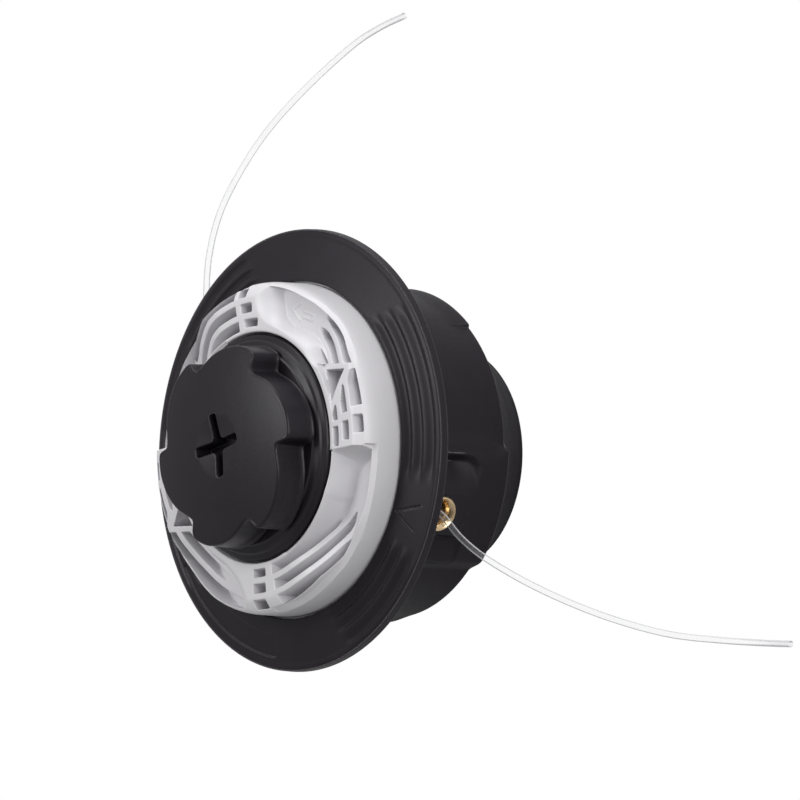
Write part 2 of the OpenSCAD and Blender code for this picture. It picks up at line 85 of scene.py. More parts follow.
def plastic(name, colour, rough, grain=900.0, grain_bump=0.10, mottle=0.06, spec=0.5,
            wave_bump=0.0, edge=0.0003, rough_var=0.06, tint=None, sub=0.0, painted_edge_highlight=None, painted_highlight_width=0.0004, painted_highlight_from=0.985):
    """Moulded plastic: faint mottling of the colour, a fine spark texture, rounded edges, and a painted highlight that
    lightens the colour along edges.
    """
    mat = bpy.data.materials.new(name)
    mat.use_nodes = True
    nt = mat.node_tree
    bsdf = nt.nodes["Principled BSDF"]
    bsdf.inputs["Specular IOR Level"].default_value = spec
    bsdf.inputs["IOR"].default_value = 1.5
    if sub:
        bsdf.inputs["Subsurface Weight"].default_value = sub
        bsdf.inputs["Subsurface Radius"].default_value = (1.0, 0.95, 0.9)
        bsdf.inputs["Subsurface Scale"].default_value = 0.0012
    co = node(nt, "ShaderNodeTexCoord", (-1400, 0))
    big = node(nt, "ShaderNodeTexNoise", (-1100, 200), Scale=70.0, Detail=3.0, Roughness=0.55)
    fine = node(nt, "ShaderNodeTexNoise", (-1100, -60), Scale=grain, Detail=2.0, Roughness=0.5)
    wave = node(nt, "ShaderNodeTexNoise", (-1100, -320), Scale=28.0, Detail=1.0, Roughness=0.4)
    for t in (big, fine, wave):
        nt.links.new(co.outputs["Object"], t.inputs["Vector"])
    ramp = node(nt, "ShaderNodeValToRGB", (-800, 220))
    dark = [c * (1 - mottle) for c in colour]
    light = [min(1, c * (1 + mottle)) for c in colour]
    if tint:
        light = [min(1, a * b) for a, b in zip(light, tint)]
    ramp.color_ramp.elements[0].position = 0.32
    ramp.color_ramp.elements[1].position = 0.68
    ramp.color_ramp.elements[0].color = dark + [1]
    ramp.color_ramp.elements[1].color = light + [1]
    nt.links.new(big.outputs["Fac"], ramp.inputs["Fac"])
    # painted highlight: the base colour is lightened along edges, where the bevelled normal turns away from the true
    # normal
    if painted_edge_highlight:
        round_n = node(nt, "ShaderNodeBevel", (-1100, 560))
        round_n.samples = 5
        round_n.inputs["Radius"].default_value = painted_highlight_width
        geo = node(nt, "ShaderNodeNewGeometry", (-1100, 420))
        dot = node(nt, "ShaderNodeVectorMath", (-900, 500))
        dot.operation = "DOT_PRODUCT"
        nt.links.new(round_n.outputs["Normal"], dot.inputs[0])
        nt.links.new(geo.outputs["Normal"], dot.inputs[1])
        highlight_mask = node(nt, "ShaderNodeMapRange", (-700, 500))
        highlight_mask.inputs["From Min"].default_value = painted_highlight_from
        highlight_mask.inputs["From Max"].default_value = 0.88
        nt.links.new(dot.outputs["Value"], highlight_mask.inputs["Value"])
        mix = node(nt, "ShaderNodeMix", (-480, 380))
        mix.data_type = "RGBA"
        for sock in mix.inputs:
            if sock.name == "B" and sock.type == "RGBA":
                sock.default_value = (*painted_edge_highlight, 1)
        nt.links.new(highlight_mask.outputs["Result"], mix.inputs[0])
        nt.links.new(ramp.outputs["Color"], [k for k in mix.inputs if k.name == "A" and k.type == "RGBA"][0])
        nt.links.new([k for k in mix.outputs if k.type == "RGBA"][0], bsdf.inputs["Base Color"])
    else:
        nt.links.new(ramp.outputs["Color"], bsdf.inputs["Base Color"])
    rr = node(nt, "ShaderNodeMapRange", (-800, -40))
    rr.inputs["From Min"].default_value = 0.3
    rr.inputs["From Max"].default_value = 0.7
    rr.inputs["To Min"].default_value = max(0.02, rough - rough_var)
    rr.inputs["To Max"].default_value = min(1.0, rough + rough_var)
    nt.links.new(fine.outputs["Fac"], rr.inputs["Value"])
    nt.links.new(rr.outputs["Result"], bsdf.inputs["Roughness"])
    bump = node(nt, "ShaderNodeBump", (-500, -200))
    bump.inputs["Strength"].default_value = grain_bump
    bump.inputs["Distance"].default_value = 0.0002
    nt.links.new(fine.outputs["Fac"], bump.inputs["Height"])
    last = bump
    if wave_bump:
        b2 = node(nt, "ShaderNodeBump", (-300, -360))
        b2.inputs["Strength"].default_value = wave_bump
        b2.inputs["Distance"].default_value = 0.001
        nt.links.new(wave.outputs["Fac"], b2.inputs["Height"])
        nt.links.new(last.outputs["Normal"], b2.inputs["Normal"])
        last = b2
    if edge:
        bev = node(nt, "ShaderNodeBevel", (-760, -420))
        bev.samples = 4
        bev.inputs["Radius"].default_value = edge
        nt.links.new(bev.outputs["Normal"], bump.inputs["Normal"])
    nt.links.new(last.outputs["Normal"], bsdf.inputs["Normal"])
    return mat


def metal(name, colour, rough, grain=1600.0, bump_s=0.06, mottle=0.08, turned=False, edge=0.0002):
    """Worked metal: slight staining, a fine grain in the bump and the roughness."""
    mat = plastic(name, colour, rough, grain=grain, grain_bump=bump_s, mottle=mottle, edge=edge, rough_var=0.08)
    nt = mat.node_tree
    bsdf = nt.nodes["Principled BSDF"]
    bsdf.inputs["Metallic"].default_value = 1.0
    return mat


def clear_line(name):
    """Clear nylon line: see-through in the middle, slightly milky, with light lines along its sides."""
    mat = bpy.data.materials.new(name)
    mat.use_nodes = True
    nt = mat.node_tree
    bsdf = nt.nodes["Principled BSDF"]
    bsdf.inputs["IOR"].default_value = 1.53
    bsdf.inputs["Specular IOR Level"].default_value = 0.5
    co = node(nt, "ShaderNodeTexCoord", (-1200, 0))
    big = node(nt, "ShaderNodeTexNoise", (-900, 150), Scale=90.0, Detail=2.0, Roughness=0.5)
    nt.links.new(co.outputs["Object"], big.inputs["Vector"])
    ramp = node(nt, "ShaderNodeValToRGB", (-600, 180))
    ramp.color_ramp.elements[0].position = 0.3
    ramp.color_ramp.elements[1].position = 0.7
    ramp.color_ramp.elements[0].color = (0.60, 0.60, 0.62, 1)
    ramp.color_ramp.elements[1].color = (0.68, 0.68, 0.70, 1)
    nt.links.new(big.outputs["Fac"], ramp.inputs["Fac"])
    nt.links.new(ramp.outputs["Color"], bsdf.inputs["Base Color"])
    rr = node(nt, "ShaderNodeMapRange", (-600, -80))
    rr.inputs["To Min"].default_value = 0.10
    rr.inputs["To Max"].default_value = 0.20
    nt.links.new(big.outputs["Fac"], rr.inputs["Value"])
    nt.links.new(rr.outputs["Result"], bsdf.inputs["Roughness"])
    bump = node(nt, "ShaderNodeBump", (-350, -200))
    bump.inputs["Strength"].default_value = 0.03
    bump.inputs["Distance"].default_value = 0.0001
    nt.links.new(big.outputs["Fac"], bump.inputs["Height"])
    nt.links.new(bump.outputs["Normal"], bsdf.inputs["Normal"])
    lw = node(nt, "ShaderNodeLayerWeight", (-900, -300))
    lw.inputs["Blend"].default_value = 0.5
    side = node(nt, "ShaderNodeValToRGB", (-600, -320))
    side.color_ramp.interpolation = "EASE"
    el = side.color_ramp.elements
    el[0].position, el[0].color = 0.26, (0.085, 0.085, 0.085, 1)
    el[1].position, el[1].color = 0.52, (0.88, 0.88, 0.88, 1)
    nt.links.new(lw.outputs["Facing"], side.inputs["Fac"])
    nt.links.new(side.outputs["Color"], bsdf.inputs["Alpha"])
    return mat


BLACK = (0.0098, 0.0073, 0.0113)
# colour of the painted highlight along the knob's edges
EDGE_HIGHLIGHT_PAINT = (0.105, 0.100, 0.110)
# the light edge colours given below are painted highlights along the edges of the housing, flange, knob and ring
MAT = {
    "housing": plastic("housing_nylon", BLACK, 0.50, grain=2600, grain_bump=0.16, mottle=0.16, spec=0.21, wave_bump=0.05, painted_edge_highlight=(0.20, 0.19, 0.205), painted_highlight_width=0.0006),
    "flange": plastic("flange_nylon", BLACK, 0.42, grain=2600, grain_bump=0.20, mottle=0.18, spec=0.24, wave_bump=0.04, painted_edge_highlight=(0.15, 0.14, 0.155), painted_highlight_from=0.965),
    "knob": plastic("knob_nylon", BLACK, 0.35, grain=2800, grain_bump=0.16, mottle=0.14, spec=0.28, wave_bump=0.03, painted_edge_highlight=EDGE_HIGHLIGHT_PAINT),
    "ring": plastic("ring_acetal", (0.62, 0.61, 0.635), 0.42, grain=1800, grain_bump=0.05, mottle=0.015, wave_bump=0.02,
                    painted_edge_highlight=(0.86, 0.86, 0.88), painted_highlight_width=0.0003),
    "dark": plastic("dark_nylon", (0.030, 0.029, 0.032), 0.5, grain=2200, grain_bump=0.12, mottle=0.12),
    "white": plastic("white_nylon", (0.62, 0.62, 0.60), 0.45, grain=1800, grain_bump=0.08, mottle=0.03),
    "steel": metal("steel", (0.46, 0.46, 0.47), 0.30),
    "spring": metal("spring_steel", (0.30, 0.30, 0.31), 0.34),
    "brass": metal("brass", (0.66, 0.50, 0.30), 0.24, grain=2400, bump_s=0.05, mottle=0.14),
    "line": clear_line("clear_line"),
}


def finish_cad(name, mat, angle=32):
    o = NODES[name]
    me = o.data
    me.materials.clear()
    me.materials.append(MAT[mat])
    me.polygons.foreach_set("use_smooth", [True] * len(me.polygons))
    me.set_sharp_from_angle(angle=angle * RAD)


for n, mname in {
    "housing": "housing", "drive_nut": "steel", "eyelet_a": "brass", "eyelet_b": "brass",
    "index_ring": "dark", "spindle": "steel", "spring_seat": "steel", "return_spring": "spring",
    "skid_flange": "flange", "spring_cup": "dark", "thrust_washer": "steel", "spool": "dark",
    "winding_ring": "ring", "knob_collar": "knob", "bump_knob": "knob", "knob_screws": "steel",
    "wound_line": "line", "line_tail_a": "line", "line_tail_b": "line",
}.items():
    finish_cad(n, mname)


# ---------------------------------------------------------------- free lines
ROUTE_A = [[33, 0, 46], [40, 0, 46], [47, 0, 46], [54, -0.3, 45.8], [63, -3.5, 45.1],
           [74, -5.8, 43.4], [89, -8, 37.7], [103, -9.6, 29], [115.5, -10, 20],
           [128, -8.8, 11.6], [142, -5, 5.2], [155, -0.8, 2], [168, 3.7, 1.1]]
ROUTE_B = [[-33, 0, 46], [-40, 0, 46], [-47, 0, 46], [-54, 0.4, 45.8], [-64, 4, 44.8],
           [-75, 10.5, 42.2], [-84, 20.5, 39], [-92.5, 30, 34.5], [-100, 41, 28.2], [-104, 53, 21.2],
           [-105, 66, 14.2], [-101, 81, 7.7], [-91, 98.5, 2.9], [-82, 108, 1.6], [-73, 115, 1.1]]


def catmull(route, n):
    pts = np.array(route, float) / 1000
    last = len(pts) - 1
    out = []
    for k in range(n):
        s = min(last - 1e-6, k / (n - 1) * last)
        i = int(s)
        t = s - i
        p0, p1, p2, p3 = pts[max(0, i - 1)], pts[i], pts[min(last, i + 1)], pts[min(last, i + 2)]
        out.append(0.5 * (2 * p1 + (p2 - p0) * t + (2 * p0 - 5 * p1 + 4 * p2 - p3) * t * t
                          + (3 * p1 - p0 - 3 * p2 + p3) * t ** 3))
    return np.array(out)


def line_tail(name, route, node_name):
    pts = catmull(route, 420)
    cu = bpy.data.curves.new(name, "CURVE")
    cu.dimensions = "3D"
    sp = cu.splines.new("POLY")
    sp.points.add(len(pts) - 1)
    for p, c in zip(sp.points, pts):
        p.co = (*c, 1)
    sp.use_smooth = True
    cu.bevel_depth = 0.001
    cu.bevel_resolution = 8
    cu.use_fill_caps = True
    o = bpy.data.objects.new(name, cu)
    bpy.context.scene.collection.objects.link(o)
    cu.materials.append(MAT["line"])
    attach(o, "housing")
    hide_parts(node_name)
    return o


line_tail("free_line_a", ROUTE_A, "line_tail_a")
line_tail("free_line_b", ROUTE_B, "line_tail_b")

# ---------------------------------------------------------------- mesh helpers
def smooth01(t):
    t = np.clip(t, 0, 1)
    return t * t * (3 - 2 * t)


def spline(xs, ys, x):
    """Smooth curve through the given points that never overshoots them."""
    xs, ys = np.array(xs, float), np.array(ys, float)
    h = np.diff(xs)
    d = np.diff(ys) / h
    m = np.zeros(len(xs))
    m[0], m[-1] = d[0], d[-1]
    for i in range(1, len(xs) - 1):
        if d[i - 1] * d[i] > 0:
            w1, w2 = 2 * h[i] + h[i - 1], h[i] + 2 * h[i - 1]
            m[i] = (w1 + w2) / (w1 / d[i - 1] + w2 / d[i])
    x = np.clip(x, xs[0], xs[-1])
    k = np.clip(np.searchsorted(xs, x) - 1, 0, len(xs) - 2)
    t = (x - xs[k]) / h[k]
    h00, h10 = (1 + 2 * t) * (1 - t) ** 2, t * (1 - t) ** 2
    h01, h11 = t * t * (3 - 2 * t), t * t * (t - 1)
    return h00 * ys[k] + h10 * h[k] * m[k] + h01 * ys[k + 1] + h11 * h[k] * m[k + 1]


def path_distance(x, y, pts):
    """Distance from every (x, y) to an open line of points."""
    best = np.full(np.broadcast(x, y).shape, 1e9)
    for (ax, ay), (bx, by) in zip(pts[:-1], pts[1:]):
        vx, vy = bx - ax, by - ay
        t = np.clip(((x - ax) * vx + (y - ay) * vy) / (vx * vx + vy * vy), 0, 1)
        best = np.minimum(best, np.hypot(x - ax - t * vx, y - ay - t * vy))
    return best


def polygon_sd(x, y, pts):
    """Signed distance to a closed polygon, negative inside."""
    pts = [tuple(p) for p in pts]
    inside = np.zeros(np.broadcast(x, y).shape, bool)
    for (ax, ay), (bx, by) in zip(pts, pts[1:] + pts[:1]):
        if ay != by:
            cross = (ay > y) != (by > y)
            inside ^= cross & (x < (bx - ax) * (y - ay) / (by - ay) + ax)
    d = path_distance(x, y, pts + pts[:1])
    return np.where(inside, -d, d)


def curve_through(pts, n=8):
    """Denser points on a smooth curve through the given ones."""
    p = np.array(pts, float)
    out = []
    for i in range(len(p) - 1):
        p0, p1, p2, p3 = p[max(0, i - 1)], p[i], p[i + 1], p[min(len(p) - 1, i + 2)]
        for k in range(n):
            t = k / n
            out.append(0.5 * (2 * p1 + (p2 - p0) * t + (2 * p0 - 5 * p1 + 4 * p2 - p3) * t * t
                              + (3 * p1 - p0 - 3 * p2 + p3) * t ** 3))
    out.append(p[-1])
    return [tuple(q) for q in out]


def mesh_object(name, verts_mm, faces, mat, angle=38, turn=0.0):
    """Mesh object from points in millimetres, turned about the head's axis, with crisp edges kept."""
    v = np.asarray(verts_mm, float) / 1000
    if turn:
        c, s = math.cos(turn * RAD), math.sin(turn * RAD)
        v = np.column_stack([v[:, 0] * c - v[:, 1] * s, v[:, 0] * s + v[:, 1] * c, v[:, 2]])
    me = bpy.data.meshes.new(name)
    me.from_pydata(v.tolist(), [], faces if isinstance(faces, list) else faces.tolist())
    me.validate()
    me.polygons.foreach_set("use_smooth", [True] * len(me.polygons))
    me.set_sharp_from_angle(angle=angle * RAD)
    me.materials.append(MAT[mat])
    me.update()
    o = bpy.data.objects.new(name, me)
    bpy.context.scene.collection.objects.link(o)
    return o


def ring_grid(loops, closed_tube=True):
    """Verts and quads from a list of equal closed loops; the last joins the first when closed_tube is set."""
    n = len(loops[0])
    verts = np.concatenate([np.asarray(l, float) for l in loops])
    k = len(loops)
    faces = []
    j = np.arange(n)
    jn = (j + 1) % n
    for i in range(k if closed_tube else k - 1):
        a, b = i * n, ((i + 1) % k) * n
        faces.append(np.column_stack([a + j, a + jn, b + jn, b + j]))
    return verts, np.concatenate(faces)

def rounded(points, radii, seg=4):
    """The same profile with its corners rounded by the given radii."""
    p = [np.array(q, float) for q in points]
    out = []
    for i, q in enumerate(p):
        r = radii[i] if i < len(radii) else 0
        if i == 0 or i == len(p) - 1 or not r:
            out.append((float(q[0]), float(q[1])))
            continue
        a, b = p[i - 1] - q, p[i + 1] - q
        la, lb = np.hypot(*a), np.hypot(*b)
        a, b = a / la, b / lb
        half = math.acos(float(np.clip(np.dot(a, b), -1, 1))) / 2
        if half > 1.55:
            out.append((float(q[0]), float(q[1])))
            continue
        t = min(r / math.tan(half), la * 0.48, lb * 0.48)
        rr = t * math.tan(half)
        c = q + (a + b) / np.linalg.norm(a + b) * rr / math.sin(half)
        s, e = q + a * t - c, q + b * t - c
        s0 = math.atan2(s[1], s[0])
        turn = (math.atan2(e[1], e[0]) - s0 + math.pi) % (2 * math.pi) - math.pi
        for k in range(seg + 1):
            w = s0 + turn * k / seg
            out.append((float(c[0] + rr * math.cos(w)), float(c[1] + rr * math.sin(w))))
    return out


def outward(verts, faces):
    """Turn every face over if the closed skin is inside out."""
    v = np.asarray(verts, float)
    vol = 0.0
    quads = [f for f in faces if len(f) == 4]
    tris = [f for f in faces if len(f) == 3]
    for group, corners in ((quads, ((0, 1, 2), (0, 2, 3))), (tris, ((0, 1, 2),))):
        if len(group):
            g = np.array(group)
            for a, b, c in corners:
                vol += float(np.einsum("ij,ij->i", v[g[:, a]], np.cross(v[g[:, b]], v[g[:, c]])).sum())
    return [tuple(int(k) for k in f[::-1]) for f in faces] if vol < 0 else [tuple(int(k) for k in f) for f in faces]


def circle_loop(r, z, an):
    return np.column_stack([r * np.cos(an * RAD), r * np.sin(an * RAD), np.zeros(len(an)) + z])


def zipper(ia, aa, ib, ab):
    """Triangles between two closed loops, given their vertex numbers and their rising angles."""
    faces = []
    i = j = 0
    na, nb = len(ia), len(ib)
    while i < na or j < nb:
        nexta = aa[i + 1] if i + 1 < na else aa[0] + 360
        nextb = ab[j + 1] if j + 1 < nb else ab[0] + 360
        if j >= nb or (i < na and nexta <= nextb):
            faces.append((ia[i], ia[(i + 1) % na], ib[j % nb]))
            i += 1
        else:
            faces.append((ia[i % na], ib[(j + 1) % nb], ib[j]))
            j += 1
    return faces


def revolve(name, profile, n, mat, angle=30, turn=0.0):
    """Closed ring from a profile of (radius, height) points."""
    an = np.arange(n) * 360.0 / n
    loops = [circle_loop(r, z, an) for r, z in profile]
    verts, faces = ring_grid(loops)
    return mesh_object(name, verts, outward(verts, faces.tolist()), mat, angle=angle, turn=turn)

# ---------------------------------------------------------------- winding ring
ROWS = [(36.3, 38.7), (40.7, 43.5), (45.5, 48.2)]
FACE_Z = 77.2


def sector_sd(r, a, r1, r2, a1, a2, corner=0.45):
    """Signed distance to a block between two radii and two angles, with rounded corners."""
    mid = (r1 + r2) / 2
    dr = np.abs(r - mid) - (r2 - r1) / 2 + corner
    ds = np.abs(a - (a1 + a2) / 2) * RAD * r - (a2 - a1) / 2 * RAD * r + corner
    out = np.hypot(np.maximum(dr, 0), np.maximum(ds, 0)) + np.minimum(np.maximum(dr, ds), 0)
    return out - corner


def carve(z, d, floor, edge=0.3, wall=0.32):
    """Sink z to floor where d is negative, with a rounded upper edge and a steep wall."""
    e = np.minimum(edge, np.maximum(0, z - floor) * 0.45)
    u = np.clip((edge - d) / edge, 0, 1)
    top = z - e * (1 - np.sqrt(np.maximum(0, 1 - u * u)))
    t = np.clip(-d / wall, 0, 1)
    t = np.where(t < 0.8, t * 1.12, 0.896 + 0.104 * smooth01((t - 0.8) / 0.2))
    low = (z - e) * (1 - t) + floor * t
    res = np.where(d >= edge, z, np.where(d > 0, top, low))
    return np.where(floor < z, np.minimum(z, res), z)


def ring_profile(r):
    """Height of the uncut face: flat, then a rim that falls away in a large rounding."""
    z = spline([34.5, 45.0, 45.8, 46.6, 47.5, 48.3, 49.1, 49.5, 49.65],
               [77.2, 77.2, 77.0, 76.6, 76.0, 75.3, 74.0, 72.6, 71.0], r)
    u = np.clip((35.1 - r) / 0.6, 0, 1)
    return z - 0.6 * (1 - np.sqrt(1 - u * u))


def inner_wall(r, start, width, depth, steep=1.0):
    """Fall from the ring's inner rim into a scoop: gentle at first, then steeper and steeper."""
    t = np.maximum(0, (r - start) / width)
    return FACE_Z - depth * ((1 - 0.65 * steep) * t + 0.65 * steep * t * t)


def ring_face(r, a):
    """Height of the ring's face at radius r and angle a in degrees, which nearly repeats after half a turn."""
    other = ((a + 90) % 360) >= 180
    a = (a + 90) % 180 - 90
    z0 = ring_profile(r)
    x, y = r * np.cos(a * RAD), r * np.sin(a * RAD)

    # ----- deep scoop, from its steep step clockwise
    rib_z = spline([-90, -62, -55, -50, -45.7, -40, -35, -31, -28, 90],
                   [77.2, 77.2, 76.5, 75.3, 74.0, 72.2, 70.3, 68.9, 68.4, 68.4], a)
    step = (y - 1.0) - (x - 36.6) * 0.1836
    crease = curve_through([(49.5, 0.4), (46.5, -0.5), (43.6, -1.7), (40.9, -3.3), (39.0, -5.4), (37.9, -8.0),
                            (37.0, -10.8), (36.1, -13.2)]) + \
        [(37.9 * math.cos(q * RAD), 37.9 * math.sin(q * RAD)) for q in np.arange(-23, -73, -2)]
    top_line = [(50.0, 3.46), (36.6, 1.0), (35.6, 0.2)] + \
        [(35.5 * math.cos(q * RAD), 35.5 * math.sin(q * RAD)) for q in np.arange(-2, -73, -2)]
    d_top = path_distance(x, y, top_line)
    d_low = path_distance(x, y, crease)
    floor_zone = polygon_sd(x, y, crease + [(30, -60), (70, -60), (70, 0)]) < 0
    t = d_top / (d_top + d_low + 1e-9)
    # near the step the wall is hollow; along the inner rim it rolls over first
    near_step = smooth01((-3.0 - y) / 9.0)
    hollow = 1 - (1 - t) ** 1.35
    roll = 0.25 * t + 0.75 * t * t
    wall = FACE_Z - (FACE_Z - 68.4) * (hollow * (1 - near_step) + roll * near_step)
    deep = np.where(floor_zone, np.minimum(rib_z, 77.2), wall)
    deep = np.maximum(deep, 60)
    in_deep = (step < 0) & (a < 30) & (a > -75)
    beyond = np.minimum(rib_z, FACE_Z)
    # ribs and rim of the inner wall farther round: the inner wall ends in the first groove
    deep = np.where((a < -26) & floor_zone, beyond, deep)
    z_deep = np.minimum(z0, deep)
    z = np.where(in_deep, z_deep, z0)
    # where the ribs have come up to the face there is no scoop left
    z = np.where(a <= -62, z0, z)

    # inner wall beside the first groove
    g1 = inner_wall(r, 35.4, 2.3, 5.0, 1.0)

    # ----- shallow scoop
    a1 = np.where(a < -80, a + 180, a)
    x1, y1 = r * np.cos(a1 * RAD), r * np.sin(a1 * RAD)
    second = np.where(a < -80, ~other, other)
    face1 = spline([-90, 17, 25, 33, 40, 46, 52.5, 58, 100], [77.2, 77.2, 76.8, 76.0, 75.0, 73.7, 72.6, 72.05, 72.0], a1)
    # upper and lower edge of the wall that falls into it; the two scoops differ a little
    wall_lines = [
        ([(-5.6, 50.0), (-5.2, 46.8), (-4.5, 42.9), (-3.0, 40.2), (-0.4, 38.1), (4.0, 36.4), (8.5, 35.2),
          (13.2, 33.3), (18.0, 30.9), (22.0, 28.2), (25.0, 25.4)],
         [(4.4, 50.5), (3.7, 47.6), (3.6, 44.9), (4.9, 40.6), (6.6, 38.2), (9.4, 36.6), (13.6, 35.9),
          (17.6, 34.9), (20.9, 33.3), (23.8, 31.2), (26.6, 28.6), (28.4, 26.4)]),
        ([(-1.9, 50.0), (-1.6, 47.5), (-0.6, 44.6), (1.4, 41.8), (3.6, 39.2), (6.6, 36.9), (10.0, 34.7),
          (13.8, 32.9), (18.0, 30.9), (22.0, 28.2), (25.0, 25.4)],
         [(6.2, 50.5), (6.0, 47.6), (6.4, 44.9), (7.9, 42.0), (10.0, 39.4), (12.6, 37.4), (15.4, 36.0),
          (18.2, 34.7), (20.9, 33.3), (23.8, 31.2), (26.6, 28.6), (28.4, 26.4)])]
    walls, levels, tops = [], [], []
    for up_line, low_line in wall_lines:
        ridge, low1 = curve_through(up_line), curve_through(low_line)
        d_t, d_l = path_distance(x1, y1, ridge), path_distance(x1, y1, low1)
        t = d_t / (d_t + d_l + 1e-9)
        walls.append(t ** 1.8)
        tops.append(polygon_sd(x1, y1, ridge + [(60, 20), (60, 60), (-5.6, 60)]) < 0)
        levels.append(polygon_sd(x1, y1, low1 + [(60, 20), (60, 60), (4.4, 60)]) < 0)
    fall = np.where(second, walls[1], walls[0])
    above = np.where(second, tops[1], tops[0])
    flat = np.where(second, levels[1], levels[0])
    wall1 = FACE_Z - (FACE_Z - face1) * fall
    s1 = np.where(flat, face1, np.where(above, wall1, 99))
    line_up = y - 26.45 - (x - 33) * 0.0787
    in_s1 = (a1 > 17) & (a1 < 97.5)
    z = np.where(in_s1, np.minimum(z, np.where(s1 > 90, z, s1)), z)
    # the face falls a little on its way to the wall between slots and grooves
    z = np.where((a >= 17) & (line_up < 0) & (r > 36.6), np.minimum(z, face1), z)

    # ----- rim outside the scoops
    rim_in = spline([-78, -75, -67, -51, -47, -37, -28, -19, -9, 3.2], [75.4, 75.2, 73.1, 72.6, 72.1, 71.9, 72.2, 71.7, 72.1, 72.3], a)
    rim_out = spline([-78, -66, -56, -48, -40, -30, -15, 3.2], [71.6, 71.4, 71.2, 70.9, 70.1, 70.1, 70.6, 71.2], a)
    k = np.clip((r - 48.2) / 1.45, 0, 1)
    rim_deep = rim_in * (1 - k) + rim_out * k
    on_rim = r > 48.2
    dz = on_rim & (step < 0) & (a > -78) & (a < 20)
    z = np.where(dz, np.minimum(z0, rim_deep), z)
    rim1 = spline([8, 16, 25, 32, 38, 44, 51, 58, 66, 71.5, 76, 90], [75.6, 75.4, 75.2, 74.8, 74.2, 73.8, 73.4, 73.8, 74.6, 75.4, 75.8, 75.8], a1)
    s1rim = on_rim & (a1 > 14) & (a1 < 98)
    z = np.where(s1rim, np.minimum(z0, rim1 - (r - 48.2) * 0.9), z)
    return np.where(s1rim | dz | ~on_rim, z, z0), x, y, a, z0, g1, step, line_up, face1


